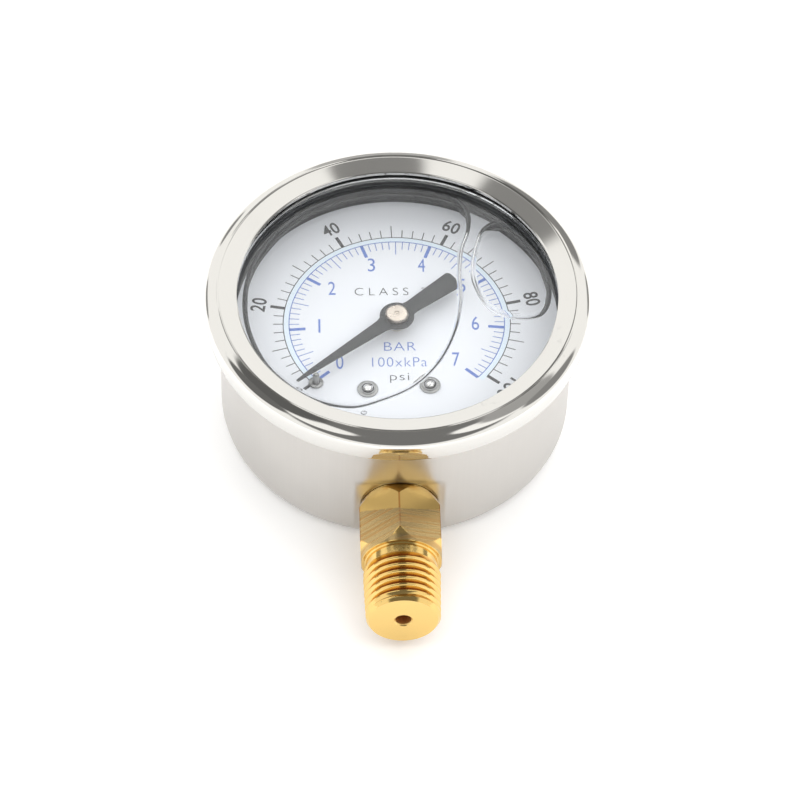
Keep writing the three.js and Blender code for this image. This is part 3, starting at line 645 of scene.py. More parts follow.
def finish_named(name):
    """Each finish is made once, when a piece first asks for it."""
    if name not in FINISHES:
        shades = colours()
        makers = {
            "case_stainless": satin_steel,
            "bezel_polished": polished_steel,
            "window_clear": clear_window,
            "fill_liquid": glycerine,
            "black_rubber": black_rubber,
            "dial_white": dial_enamel,
            "print_black": lambda: ink("ink_black", shades.ink_black),
            "print_blue": lambda: ink("ink_blue", shades.ink_blue),
            "scale_band": lambda: ink("scale_band", shades.band),
            "pointer_dark": pointer_paint,
            "stem_brass": turned_brass,
            "movement_brass": lambda: plain_metal("movement_brass", shades.works, 0.25, 700.0),
            "tube_bronze": lambda: plain_metal("tube_bronze", shades.bronze, 0.35, 500.0),
            "small_steel": lambda: plain_metal("small_steel", shades.polished, 0.1, 1200.0),
            "dull_steel": lambda: plain_metal("dull_steel", (0.36, 0.36, 0.35), 0.3, 1400.0),
            "cap_nickel": lambda: plain_metal("cap_nickel", (0.66, 0.58, 0.5), 0.22, 600.0),
        }
        FINISHES[name] = makers[name]()
    return FINISHES[name]


# ---------------------------------------------------------------- case, bezel, window and seal


def soft_least(first, second, ease):
    """The lesser of two lengths, rounded where they are nearly alike."""
    gap = max(ease - abs(first - second), 0) / ease
    return min(first, second) - gap * gap * ease / 4


def bend_bead(across, height):
    """The low bead left where the pad's flat meets the round wall."""
    edge = math.sqrt(CASE_RADIUS ** 2 - sizes().pad_offset ** 2)
    near_edge = math.exp(-((across - edge) / (0.5 * MM)) ** 2)
    fade = 2.0 * MM
    above_corner = min(max((height - 2.0 * MM) / fade, 0), 1)
    below_top = min(max((15.5 * MM - height) / fade, 0), 1)
    return 0.16 * MM * near_edge * above_corner * below_top


def case_row(radius, height, pad_offset, ease):
    """A row of the case wall, pressed flat round the stem below the top of the pad."""
    row = []
    pad = pad_offset + max(0, height - sizes().pad_top) * 0.55
    for i in range(FINE_SEGMENTS * 2):
        angle = TURN * i / (FINE_SEGMENTS * 2)
        toward_stem = -math.sin(angle)
        reach = soft_least(radius, pad / toward_stem, ease) if toward_stem > 0.5 else radius
        if toward_stem > 0.5:
            reach += bend_bead(abs(math.cos(angle)) * radius, height)
        row.append(Vector((reach * math.cos(angle), reach * math.sin(angle), height)))
    return row


def case_profile(radius, floor, corner, top):
    """Half of a drawn cup, from the middle of the back to the top of the wall."""
    bend = arc((radius - corner, floor + corner), corner, corner, -math.pi / 2, 0, 10)
    wall = [floor + corner + (top - floor - corner) * step / 40 for step in range(1, 41)]
    return [(0, floor), (radius * 0.45, floor), (radius * 0.8, floor)] + bend + [(radius, z) for z in wall]


def round_tool(radius, low, high, matrix, segments=96):
    """A plain round cutter, turned into place."""
    tool = lathe("cutter", [(0, low), (radius, low), (radius, high), (0, high)], segments)
    return moved(tool, matrix)


class GAUGE_OT_case(bpy.types.Operator):
    """Builds the drawn stainless case with its flat pad round the stem"""

    bl_idname = "gauge.case"
    bl_label = "Case"

    def execute(self, context):
        size = sizes()
        radius = CASE_RADIUS
        flange = CASE_HIGH.x
        top = CASE_HIGH.z
        flange_low = top - 0.7 * MM
        outside = [case_row(r, z, size.pad_offset, 0.35 * MM)
                   for r, z in case_profile(radius, 0, size.case_corner, flange_low)]
        inner_radius = radius - size.case_wall
        lip = [(radius, flange_low), (flange, flange_low), (flange, top), (inner_radius, top)]
        rim = [case_row(r, z, flange, 0.1 * MM) for r, z in rounded(lip, 0.15 * MM)]
        inside = [case_row(r, z, size.pad_offset - size.case_wall, 0.35 * MM) for r, z in
                  case_profile(inner_radius, size.case_wall, size.case_corner - size.case_wall, top)]
        case = make_object("case_shell", *skin(outside + rim + inside[::-1]), sharp=math.radians(50))
        cut_by(case, round_tool(6.8 * MM, 20 * MM, 34 * MM, ALONG_STEM))
        cut_by(case, round_tool(4.6 * MM, 27 * MM, 36 * MM, AT_FILL_HOLE))
        smooth(case, math.radians(50))
        finish_piece(case, finish_named("case_stainless"), "gauge_case", "case_stainless", "case")
        return {"FINISHED"}


class GAUGE_OT_bezel(bpy.types.Operator):
    """Builds the rolled bezel with its skirt, roll, ridge and inner cone"""

    bl_idname = "gauge.bezel"
    bl_label = "Bezel"

    def execute(self, context):
        size = sizes()
        widest = BEZEL_HIGH.x
        top = BEZEL_HIGH.z
        bottom = BEZEL_LOW.z
        sheet = size.bezel_sheet
        shoulder = top - 2.1 * MM
        skirt = widest - 0.16 * MM
        opening_top = top - 0.8 * MM
        cone_start = Vector((size.bezel_opening + 0.15 * MM, opening_top))
        cone_end = Vector((size.bezel_ridge - 0.5 * MM, top - 0.08 * MM))
        roll = sweep((widest, shoulder), (widest, top - 1.0 * MM),
                     (size.bezel_ridge + 1.3 * MM, top - 0.45 * MM), (size.bezel_ridge, top), 18)
        outside = [
            (BEZEL_INNER, bottom), (skirt - 0.5 * MM, bottom), (skirt - 0.12 * MM, bottom + 0.15 * MM),
            (skirt, bottom + 0.5 * MM), (skirt, shoulder - 0.4 * MM),
            (widest - 0.03 * MM, shoulder - 0.25 * MM),
            *roll,
            (size.bezel_ridge - 0.1 * MM, top - 0.08 * MM), (size.bezel_ridge - 0.22 * MM, top - 0.13 * MM),
            (size.bezel_ridge - 0.34 * MM, top - 0.06 * MM), (cone_end.x, cone_end.y),
            *[tuple(cone_end.lerp(cone_start, share)) for share in (0.04, 0.1, 0.9, 0.96)],
            (cone_start.x, cone_start.y), (size.bezel_opening, opening_top - 0.15 * MM),
        ]
        inside = [
            (size.bezel_opening, opening_top - sheet), (size.bezel_ridge, top - sheet - 0.12 * MM),
            (widest - sheet - 0.1 * MM, shoulder), (widest - sheet - 0.1 * MM, bottom + sheet),
            (BEZEL_INNER, bottom + sheet - 0.1 * MM), (BEZEL_INNER, bottom),
        ]
        bezel = lathe("bezel_roll", outside + inside, FINE_SEGMENTS * 2, math.radians(34))
        finish_piece(bezel, finish_named("bezel_polished"), "gauge_case", "bezel_polished", "bezel_ring")
        return {"FINISHED"}


class GAUGE_OT_window(bpy.types.Operator):
    """Builds the stepped clear window"""

    bl_idname = "gauge.window"
    bl_label = "Window"

    def execute(self, context):
        size = sizes()
        rim = WINDOW_HIGH.x
        low, high = WINDOW_LOW.z, WINDOW_HIGH.z
        profile = rounded([
            (0, low), (size.window_step, low), (size.window_step, size.window_rim),
            (rim, size.window_rim), (rim, high), (0, high),
        ], 0.12 * MM, 4)
        window = lathe("clear_window", profile)
        flat_shaded_level(window)
        finish_piece(window, finish_named("window_clear"), "gauge_case", "window_clear", "window")
        return {"FINISHED"}


class GAUGE_OT_seal(bpy.types.Operator):
    """Builds the rubber seal whose ribbed skirt lines the case"""

    bl_idname = "gauge.seal"
    bl_label = "Window seal"

    def execute(self, context):
        size = sizes()
        low, high = SEAL_LOW.z, SEAL_HIGH.z
        skirt = size.seal_inner + 1.0 * MM
        ribs = 6
        steps = ribs * 10
        wall = []
        for step in range(steps + 1):
            share = step / steps
            wave = (0.5 - 0.5 * math.cos(TURN * ribs * share)) ** 2
            wall.append((size.seal_inner + 0.28 * MM * wave, high - (high - low) * share))
        start = (size.seal_inner, high)
        profile = [start, *wall, (skirt, low), (skirt, SEAL_FLANGE_LOW), (SEAL_HIGH.x, SEAL_FLANGE_LOW),
                   (SEAL_HIGH.x, high), start]
        seal = lathe("ribbed_seal", profile)
        finish_piece(seal, finish_named("black_rubber"), "gauge_case", "black_rubber", "window_seal")
        return {"FINISHED"}


# ---------------------------------------------------------------- glycerine and its bubbles


def closed_curve(knots, steps):
    """A smooth closed line through (x, y) points."""
    count = len(knots)
    line = []
    for i in range(count):
        a, b, c, d = (Vector(knots[(i + shift) % count]) for shift in (-1, 0, 1, 2))
        for step in range(steps):
            t = step / steps
            line.append(0.5 * ((2 * b) + (c - a) * t + (2 * a - 5 * b + 4 * c - d) * t * t
                               + (3 * b - a - 3 * c + d) * t * t * t))
    return line


def inset(line, distance):
    """The closed line moved inward."""
    count = len(line)
    moved_line = []
    for i in range(count):
        along = (line[(i + 1) % count] - line[i - 1]).normalized()
        moved_line.append(line[i] + Vector((-along.y, along.x)) * distance)
    return moved_line


def filled(loops):
    """Points and faces of a flat surface inside the first closed loop and outside the others."""
    work = bmesh.new()
    for loop in loops:
        corners = [work.verts.new(p) for p in loop]
        for first, second in zip(corners, corners[1:] + corners[:1]):
            work.edges.new((first, second))
    bmesh.ops.triangle_fill(work, use_beauty=True, use_dissolve=False, edges=work.edges[:], normal=(0, 0, 1))
    work.verts.index_update()
    points = [v.co.copy() for v in work.verts]
    faces = [tuple(v.index for v in face.verts) for face in work.faces]
    work.free()
    return points, faces


def bubble_rows(outline, top, depth):
    """Rows down the round side of a flat bubble, from its edge under the window to its flat bottom."""
    half = depth / 2
    steps = 14
    rows = []
    for step in range(steps + 1):
        angle = math.pi / 2 - math.pi * step / steps
        height = top - half + half * math.sin(angle)
        line = inset(outline, half * (1 - math.cos(angle)) * 0.85)
        rows.append([Vector((p.x, p.y, height)) for p in line])
    return rows


def left_bubble():
    """Outline of the large bubble: along the wall on the left, then down the middle of the dial."""
    wall = [(27.6 * math.cos(math.radians(a)), 27.6 * math.sin(math.radians(a))) for a in range(80, 216, 15)]
    middle = [(-16.2, -21.6), (-9.0, -23.8), (-3.0, -22.2), (2.9, -18.9), (7.4, -13.5), (10.4, -6.6),
              (11.7, 0.5), (11.7, 6), (12.2, 12), (13.6, 17), (13.6, 21.5), (10.8, 25.4)]
    return wall + middle


def right_bubble():
    """Outline of the small bubble near 2 o'clock."""
    return [(13.6, 4.2), (15.9, -1.3), (20.4, -3.9), (25.6, -3.2), (27.6, 1.6), (26.8, 9),
            (24.2, 14.5), (21.4, 18.2), (18.4, 19.2), (15.6, 17.2), (14.2, 13.2), (13.4, 9)]


def tiny_bubble():
    """Outline of a stray bubble near 7 o'clock."""
    return [(-6.5 + 0.55 * math.cos(TURN * i / 8), -25.2 + 0.45 * math.sin(TURN * i / 8)) for i in range(8)]


class GAUGE_OT_filling(bpy.types.Operator):
    """Fills the case with glycerine that has three flat air bubbles under the window"""

    bl_idname = "gauge.filling"
    bl_label = "Liquid filling"

    def execute(self, context):
        size = sizes()
        top = WINDOW_LOW.z - 0.03 * MM
        bottom = DIAL_LOW.z + 0.4 * MM
        radius = size.seal_inner + 0.35 * MM
        rim = circle_row(radius, top)
        points, faces = skin([circle_row(0, bottom), circle_row(radius, bottom), rim])
        loops = [rim]
        for knots, depth in [(left_bubble(), size.bubble_depth), (right_bubble(), size.bubble_depth),
                             (tiny_bubble(), 0.6 * MM)]:
            outline = closed_curve([(x * MM, y * MM) for x, y in knots], 14)
            rows = bubble_rows(counter_clockwise(outline), top, depth)
            loops.append(rows[0])
            side_points, side_faces = skin(rows)
            start = len(points)
            points += side_points
            faces += [tuple(start + i for i in face) for face in side_faces]
            faces.append(tuple(range(len(points) - len(outline), len(points))))
        start = len(points)
        surface_points, surface_faces = filled(loops)
        points += surface_points
        faces += [tuple(start + i for i in face) for face in surface_faces]
        liquid = make_object("glycerine", points, faces, math.radians(35))
        flat_shaded_level(liquid)
        finish_piece(liquid, finish_named("fill_liquid"), "gauge_case", "fill_liquid")
        return {"FINISHED"}


def counter_clockwise(line):
    """The closed line in the direction whose left side is its inside."""
    area = sum(a.x * b.y - b.x * a.y for a, b in zip(line, line[1:] + line[:1]))
    return line if area > 0 else line[::-1]


# ---------------------------------------------------------------- dial and its printing


PRINT_LIFT = 0.012 * MM
PRINT_THICK = 0.008 * MM


def polar(radius, angle):
    return Vector((radius * math.cos(angle), radius * math.sin(angle)))


def flat_quad(corners):
    """Points and faces of a thin printed patch."""
    low = [Vector((x, y, DIAL_TOP + PRINT_LIFT)) for x, y in corners]
    high = [p + UP * PRINT_THICK for p in low]
    sides = [(i, (i + 1) % 4, 4 + (i + 1) % 4, 4 + i) for i in range(4)]
    return low + high, [(3, 2, 1, 0), (4, 5, 6, 7), *sides]


class Print:
    """Everything on the dial that is printed in one ink."""

    def __init__(self):
        self.points = []
        self.faces = []

    def add(self, points, faces):
        start = len(self.points)
        self.points += points
        self.faces += [tuple(start + i for i in face) for face in faces]

    def tick(self, angle, start, end, width):
        """A radial line."""
        side = polar(width / 2, angle + math.pi / 2)
        first, last = polar(start, angle), polar(end, angle)
        self.add(*flat_quad([first - side, last - side, last + side, first + side]))

    def arc(self, inner, outer, start, end, lift=0.0):
        """A band along the scale."""
        steps = 240
        rows = []
        for step in range(steps + 1):
            angle = start + (end - start) * step / steps
            low = DIAL_TOP + PRINT_LIFT + lift
            section = [(inner, low), (outer, low), (outer, low + PRINT_THICK), (inner, low + PRINT_THICK)]
            rows.append([Vector((*polar(r, angle), z)) for r, z in section])
        points, faces = skin(rows)
        self.add(points, faces + [(0, 1, 2, 3), tuple(len(points) - 4 + i for i in (3, 2, 1, 0))])

    def text(self, words, height, width, centre, turn=0.0, spacing=1.0, weight=0.0):
        """Letters of that height, squeezed to that total width, about a centre."""
        curve = bpy.data.curves.new("letters", "FONT")
        curve.body = words
        curve.align_x = "LEFT"
        curve.space_character = spacing
        curve.extrude = PRINT_THICK / 2
        curve.offset = weight
        letters = bpy.data.objects.new("letters", curve)
        bpy.context.scene.collection.objects.link(letters)
        bpy.context.view_layer.update()
        mesh = bpy.data.meshes.new_from_object(letters.evaluated_get(bpy.context.evaluated_depsgraph_get()))
        lowest = Vector([min(v.co[axis] for v in mesh.vertices) for axis in range(3)])
        highest = Vector([max(v.co[axis] for v in mesh.vertices) for axis in range(3)])
        across, up = width / (highest.x - lowest.x), height / (highest.y - lowest.y)
        middle = (lowest + highest) / 2
        level = DIAL_TOP + PRINT_LIFT + PRINT_THICK / 2
        place = Matrix.Translation((*centre, level)) @ Matrix.Rotation(turn, 4, "Z")
        shape = place @ Matrix.Diagonal((across, up, 1, 1)) @ Matrix.Translation((-middle.x, -middle.y, 0))
        self.add([shape @ v.co for v in mesh.vertices], [tuple(face.vertices) for face in mesh.polygons])
        bpy.data.objects.remove(letters)

    def piece(self, name):
        return make_object(name, self.points, self.faces)


PSI_PER_BAR = 14.5038
ARC_WIDTH = 0.17 * MM
# Marks of each scale: every how many, then their length and width in millimetres.
PSI_TICKS = ((20, 2.65, 0.62), (10, 2.8, 0.17), (2, 1.8, 0.17))
BAR_TICKS = ((10, 2.9, 0.6), (5, 3.0, 0.15), (1, 1.8, 0.15))


def psi_angle(psi):
    size = sizes()
    return size.scale_zero - size.scale_step * psi


def bar_angle(bar):
    return psi_angle(bar * PSI_PER_BAR)


def tick_size(number, ticks):
    """Length and width of the mark at a number, from the first step that it falls on."""
    return next((long * MM, wide * MM) for step, long, wide in ticks if number % step == 0)


def black_print():
    """Psi scale, its numbers and unit, and the accuracy class."""
    size = sizes()
    marks = Print()
    half = ARC_WIDTH / 2
    marks.arc(size.scale_outer - half, size.scale_outer + half, psi_angle(0), psi_angle(size.psi_top))
    for psi in range(0, size.psi_top + 1, 2):
        long, wide = tick_size(psi, PSI_TICKS)
        marks.tick(psi_angle(psi), size.scale_outer, size.scale_outer + long, wide)
    digit_width = 1.32
    gap = 0.45
    for psi in range(0, size.psi_top + 1, 20):
        digits = len(str(psi))
        width = digits * digit_width + (digits - 1) * gap
        angle = psi_angle(psi)
        centre = polar(25.15 * MM, angle)
        marks.text(str(psi), 2.7 * MM, width * MM, centre, angle - math.pi / 2, 1.05, 0.015)
    marks.text("psi", 2.2 * MM, 3.4 * MM, (0.2 * MM, -12.5 * MM), 0, 1.1, -0.014)
    marks.text("CLASS 2.5", 1.75 * MM, 16.2 * MM, (0.7 * MM, 7.5 * MM), 0, 1.5, -0.014)
    return marks


def blue_print():
    """Bar scale, its numbers and units."""
    size = sizes()
    marks = Print()
    half = ARC_WIDTH / 2
    marks.arc(size.scale_inner - half, size.scale_inner + half, bar_angle(0), bar_angle(size.bar_top))
    for tenth in range(size.bar_top * 10 + 1):
        long, wide = tick_size(tenth, BAR_TICKS)
        marks.tick(bar_angle(tenth / 10), size.scale_inner - long, size.scale_inner, wide)
    for bar in range(size.bar_top + 1):
        width = 0.36 if bar == 1 else 1.3
        x, y = polar(14.0 * MM, bar_angle(bar))
        marks.text(str(bar), 3.1 * MM, width * MM, (x + 0.1 * MM, y + 0.5 * MM))
    marks.text("BAR", 1.95 * MM, 5.7 * MM, (0.46 * MM, -5.3 * MM), 0, 1.1, -0.014)
    marks.text("100xkPa", 2.1 * MM, 9.8 * MM, (0.3 * MM, -8.85 * MM), 0, 1.1, -0.014)
    return marks


class GAUGE_OT_dial(bpy.types.Operator):
    """Prints the two scales on the dial"""

    bl_idname = "gauge.dial"
    bl_label = "Dial printing"

    def execute(self, context):
        size = sizes()
        band = Print()
        band.arc(size.scale_inner, size.scale_outer, psi_angle(0), bar_angle(size.bar_top), -0.006 * MM)
        finish_piece(band.piece("scale_band"), finish_named("scale_band"), "gauge_case", "dial_white")
        for name, marks, slot in (("print_psi", black_print(), "print_black"),
                                  ("print_bar", blue_print(), "print_blue")):
            finish_piece(marks.piece(name), finish_named(slot), "gauge_case", slot)
        return {"FINISHED"}


# ---------------------------------------------------------------- screws, stop pin and pointer


def node_middle(node):
    """The middle of a CAD node's box."""
    low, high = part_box(node)
    return (low + high) / 2


def upright_at(node):
    """The move that stands a turned piece on a CAD node's middle."""
    middle = node_middle(node)
    return Matrix.Translation((middle.x, middle.y, 0))


class GAUGE_OT_fasteners(bpy.types.Operator):
    """Builds the domed dial screws, their washers and the stop pin"""

    bl_idname = "gauge.fasteners"
    bl_label = "Dial fasteners"

    def execute(self, context):
        for side in ("left", "right"):
            screw_node, washer_node = f"dial_screw_{side}", f"dial_washer_{side}"
            low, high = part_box(screw_node)
            washer_low, washer_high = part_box(washer_node)
            head_radius = (high.x - low.x) / 2
            dome_low = washer_high.z + 0.15 * MM
            dome = arc((0, dome_low), head_radius, high.z - dome_low, 0, math.pi / 2, 10)
            shank = 0.8 * MM
            screw = lathe(f"domed_screw_{side}", [
                (0, low.z), (shank, low.z), (shank, washer_high.z), (head_radius, washer_high.z), *dome], 64)
            moved(screw, upright_at(screw_node))
            finish_piece(screw, finish_named("small_steel"), "gauge_case", "small_steel", screw_node)
            outer = (washer_high.x - washer_low.x) / 2
            hole = 0.95 * MM
            washer = lathe(f"screw_washer_{side}", rounded([
                (hole, washer_low.z), (outer, washer_low.z), (outer, washer_high.z), (hole, washer_high.z),
                (hole, washer_low.z)], 0.08 * MM, 3), 64)
            moved(washer, upright_at(washer_node))
            finish_piece(washer, finish_named("dull_steel"), "gauge_case", "small_steel", washer_node)
        collar = (PIN_HIGH.x - PIN_LOW.x) / 2
        pin = lathe("stop_post", rounded([
            (0, PIN_LOW.z), (0.45 * MM, PIN_LOW.z), (0.45 * MM, DIAL_TOP), (collar, DIAL_TOP),
            (collar, DIAL_TOP + 0.4 * MM), (0.6 * MM, DIAL_TOP + 0.5 * MM),
            (0.55 * MM, PIN_HIGH.z - 0.4 * MM), (0.4 * MM, PIN_HIGH.z), (0, PIN_HIGH.z)], 0.15 * MM, 4), 64)
        moved(pin, upright_at("stop_pin"))
        finish_piece(pin, finish_named("dull_steel"), "gauge_case", "small_steel", "stop_pin")
        return {"FINISHED"}


def pointer_outline():
    """The blade from its tip round its broad tail, along +X."""
    upper = [(23.25, 0.12), (19.9, 0.5), (3.6, 1.35)]
    eye = arc((0, 0), 3.1, 3.1, math.radians(32), math.radians(150), 16)
    tail = [(-3.6, 1.45), (-12.9, 2.0)]
    end = arc((-13.0, 1.2), 0.85, 0.85, math.radians(95), math.radians(180), 6)
    half = upper + eye + tail + end
    return half + [(x, -y) for x, y in reversed(half)]


class GAUGE_OT_pointer(bpy.types.Operator):
    """Builds the pointer blade, its flange and its domed cap"""

    bl_idname = "gauge.pointer"
    bl_label = "Pointer"

    def execute(self, context):
        outline = [(x * MM, y * MM) for x, y in pointer_outline()]
        blade = prism("pointer_blade", outline, POINTER_LOW.z, POINTER_HIGH.z)
        bevelled(blade, 0.08 * MM)
        moved(blade, Matrix.Rotation(POINTER_REST, 4, "Z"))
        finish_piece(blade, finish_named("pointer_dark"), "pointer", "pointer_dark", "pointer")
        flange_radius = FLANGE_HIGH.x + 0.3 * MM
        flange = lathe("hub_flange", rounded([
            (0.5 * MM, FLANGE_LOW.z), (flange_radius, FLANGE_LOW.z), (flange_radius, FLANGE_HIGH.z),
            (0.5 * MM, FLANGE_HIGH.z), (0.5 * MM, FLANGE_LOW.z)], 0.15 * MM, 4), 96)
        finish_piece(flange, finish_named("small_steel"), "pointer", "small_steel", "pointer_flange")
        radius = CAP_HIGH.x
        top, low = CAP_HIGH.z, CAP_LOW.z
        cap = lathe("domed_cap", [
            (0, low), (radius - 0.05 * MM, low), (radius, low + 0.05 * MM), (radius, top - 0.45 * MM),
            *arc((radius - 0.45 * MM, top - 0.45 * MM), 0.45 * MM, 0.4 * MM, 0, math.pi / 2, 8),
            (1.2 * MM, top), (0.45 * MM, top), (0.36 * MM, top - 0.14 * MM), (0.24 * MM, top - 0.14 * MM),
            (0.18 * MM, top - 0.02 * MM), (0, top - 0.02 * MM)], 96)
        finish_piece(cap, finish_named("cap_nickel"), "pointer", "small_steel", "pointer_cap")
        return {"FINISHED"}


# ---------------------------------------------------------------- stem


STEM_COLUMNS = 192


def stem_row(radius_at, height_at):
    """A row round the stem's axis. Heights run outward along the stem."""
    row = []
    for i in range(STEM_COLUMNS + 1):
        share = i / STEM_COLUMNS
        angle = math.pi / 2 + sizes().hexagon_turn + TURN * share
        radius = radius_at(share)
        row.append(Vector((radius * math.cos(angle), radius * math.sin(angle), height_at(share))))
    return row


def even(value):
    """The same value all round."""
    return lambda share: value


def hexagon_radius(share):
    """From the axis to the hexagon's side; a corner is at 0."""
    from_flat = ((share * 6) % 1 - 0.5) * TURN / 6
    return sizes().hexagon / 2 / math.cos(from_flat)


def hexagon_rows(start, end, rim, back, front):
    """The hexagon, with turned cones at both ends that cut its corners."""
    corner = sizes().hexagon / math.sqrt(3)
    rows = [stem_row(even(rim), even(start))]
    grow = lambda share: (hexagon_radius(share) - rim) / (corner - rim)
    rows.append(stem_row(hexagon_radius, lambda share: start + back * grow(share)))
    for step in range(1, 8):
        part = step / 8
        rows.append(stem_row(hexagon_radius, lambda share, part=part: (
            (start + back * grow(share)) * (1 - part) + (end - front * grow(share)) * part)))
    rows.append(stem_row(hexagon_radius, lambda share: end - front * grow(share)))
    rows.append(stem_row(even(rim), even(end)))
    return rows


def thread_rows(start, end, relief, face):
    """A tapered right-hand thread, cut off square at both ends by short cones."""
    pitch, depth = sizes().thread_pitch, sizes().thread_depth
    section = [(0.0, 0.0), (0.11, 0.0), (0.19, 0.1), (0.42, 0.93), (0.5, 1.0), (0.58, 1.0), (0.66, 0.93),
               (0.9, 0.1), (1.0, 0.0)]

    def groove(phase):
        """How far down the groove the section is at a phase, from 0 at the crest to 1 at the root."""
        for (place, down), (next_place, next_down) in zip(section, section[1:]):
            if phase <= next_place:
                return down + (next_down - down) * (phase - place) / (next_place - place)
        return 0.0

    def radius_at(height, share):
        phase = ((height - start) / pitch - share) % 1
        fade = min(max((end - height - 0.55 * MM) / (1.3 * MM), 0), 1)
        cut = THREAD_RADIUS - (height - start) * THREAD_TAPER - depth * groove(phase) * fade
        return min(cut, relief + (height - start) * 0.9, face + (end - height) * 0.8)

    turns = math.ceil((end - start) / pitch) + 2
    rows = []
    for number in range(-1, turns):
        for place, _ in section[:-1]:
            height = lambda share, along=number + place: min(max(start + (along + share) * pitch, start), end)
            rows.append(stem_row(lambda share, height=height: radius_at(height(share), share), height))
    return rows


def plain_rows(*points):
    """Round rows of the stem at (radius, distance) points."""
    return [stem_row(even(radius), even(distance)) for radius, distance in points]


class GAUGE_OT_stem(bpy.types.Operator):
    """Builds the brass stem: neck, hexagon, relief, helical thread, end face and pressure hole"""

    bl_idname = "gauge.stem"
    bl_label = "Stem"

    def execute(self, context):
        end = -STEM_LOW.y
        neck, relief, face = 6.7 * MM, 6.3 * MM, 6.0 * MM
        inner_end, bore_end = 20 * MM, 30 * MM
        port = sizes().port_radius
        rows = plain_rows((0, inner_end), (neck, inner_end), (neck, HEXAGON_START))
        rows += hexagon_rows(HEXAGON_START, HEXAGON_END, HEXAGON_RIM, HEXAGON_BACK, HEXAGON_FRONT)
        rows += plain_rows((relief + 0.2 * MM, HEXAGON_END), (relief, HEXAGON_END + 0.2 * MM),
                           (relief, THREAD_START))
        rows += thread_rows(THREAD_START, end, relief, face)
        rows += plain_rows((face - 0.15 * MM, end), (port + 0.25 * MM, end), (port, end - 0.25 * MM),
                           (port, bore_end), (0, bore_end))
        shaft = make_object("shaft", *skin(rows, closed=False), sharp=math.radians(28))
        moved(shaft, ALONG_STEM)
        low, high = Vector((-6.5 * MM, -26.5 * MM, 3 * MM)), Vector((6.5 * MM, -5 * MM, 11.2 * MM))
        corners = [(low.x, low.y), (high.x, low.y), (high.x, high.y), (low.x, high.y)]
        block = bevelled(prism("block", corners, low.z, high.z), 0.4 * MM)
        stem = joined("turned_stem", [shaft, block])
        smooth(stem, math.radians(28))
        finish_piece(stem, finish_named("stem_brass"), "gauge_case", "stem_brass", "socket_stem")
        return {"FINISHED"}


class GAUGE_OT_plug(bpy.types.Operator):
    """Builds the rubber plug of the filling hole"""

    bl_idname = "gauge.plug"
    bl_label = "Fill plug"

    def execute(self, context):
        low, high = PLUG_LOW.y, PLUG_HIGH.y
        cap = (PLUG_HIGH.x - PLUG_LOW.x) / 2
        body, cap_low = 4.4 * MM, 31.85 * MM
        profile = rounded([
            (0, low), (3.6 * MM, low), (body, low + 1.4 * MM), (body, cap_low), (cap, cap_low),
            (cap, high - 0.7 * MM), (cap - 0.8 * MM, high - 0.1 * MM), (2.6 * MM, high),
            (2.3 * MM, high - 0.35 * MM), (0, high - 0.35 * MM)], 0.25 * MM)
        plug = lathe("rubber_plug", profile, 128)
        moved(plug, AT_FILL_HOLE)
        finish_piece(plug, finish_named("black_rubber"), "gauge_case", "black_rubber", "fill_plug")
        return {"FINISHED"}


class GAUGE_OT_works(bpy.types.Operator):
    """Gives every carried-over CAD piece its finish"""

    bl_idname = "gauge.works"
    bl_label = "Dial plate and movement"

    def execute(self, context):
        slots = {row["node"]: row["material_slot"] for row in frame["record"]["subparts"]}
        for name, node in frame["nodes"].items():
            node.data.materials.clear()
            node.data.materials.append(finish_named(slots[name]))
        return {"FINISHED"}


# ---------------------------------------------------------------- stage


# Azimuth from 12 o'clock, elevation, half-width in degrees, brightness.
ROOM_PATCHES = (
    (180, 60, 40, 0.22),
    (112, 60, 12, 1.25),
    (-122, 62, 12, 1.2),
    (-74, 62, 15, 0.14),
    (-92, 40, 16, 0.18),
    (84, 58, 13, 0.45),
    (88, 34, 16, 0.3),
    (-38, 62, 9, 0.3),
    (22, 78, 8, 0.3),
    (42, 55, 3, 0.5),
    (-52, 7, 8, 0.35),
    (52, 6, 8, 0.35),
    (27, 16, 12, 0.3),
    (0, 7, 9, 0.55),
    (-27, 12, 5, 0.3),
    (0, 44, 10, 0.18),
    (0, 56, 10, 0.18),
)


def studio_world(stage):
    """A white studio with darker parts of the room between its softboxes. The camera sees it plain white."""
    world = bpy.data.worlds.new("studio")
    world.use_nodes = True
    bpy.context.scene.world = world
    paint = Paint(world.node_tree)
    x, y, z = paint.axes(paint.node("ShaderNodeTexCoord", {}, {}, "Generated"))
    level = stage.studio
    for azimuth, elevation, width, brightness in ROOM_PATCHES:
        across, up, width = math.radians(azimuth), math.radians(elevation), math.radians(width)
        toward = (math.sin(across) * math.cos(up), math.cos(across) * math.cos(up), math.sin(up))
        facing = x * toward[0] + y * toward[1] + z * toward[2]
        share = paint.remap(facing, math.cos(width * 1.12), math.cos(width * 0.9), 0.0, 1.0)
        level = level + (brightness - level) * share
    warm = paint.node("ShaderNodeVectorMath", {"operation": "SCALE"}, {0: (1.0, 0.99, 0.965), "Scale": level})
    studio = paint.node("ShaderNodeBackground", {}, {"Color": warm, "Strength": 1.0})
    plain = paint.node("ShaderNodeBackground", {}, {"Color": (1, 1, 1, 1), "Strength": 1.0})
    seen = paint.node("ShaderNodeLightPath", {}, {}, "Is Camera Ray")
    both = paint.node("ShaderNodeMixShader", {}, {0: seen, 1: studio, 2: plain})
    paint.node("ShaderNodeOutputWorld", {}, {"Surface": both})


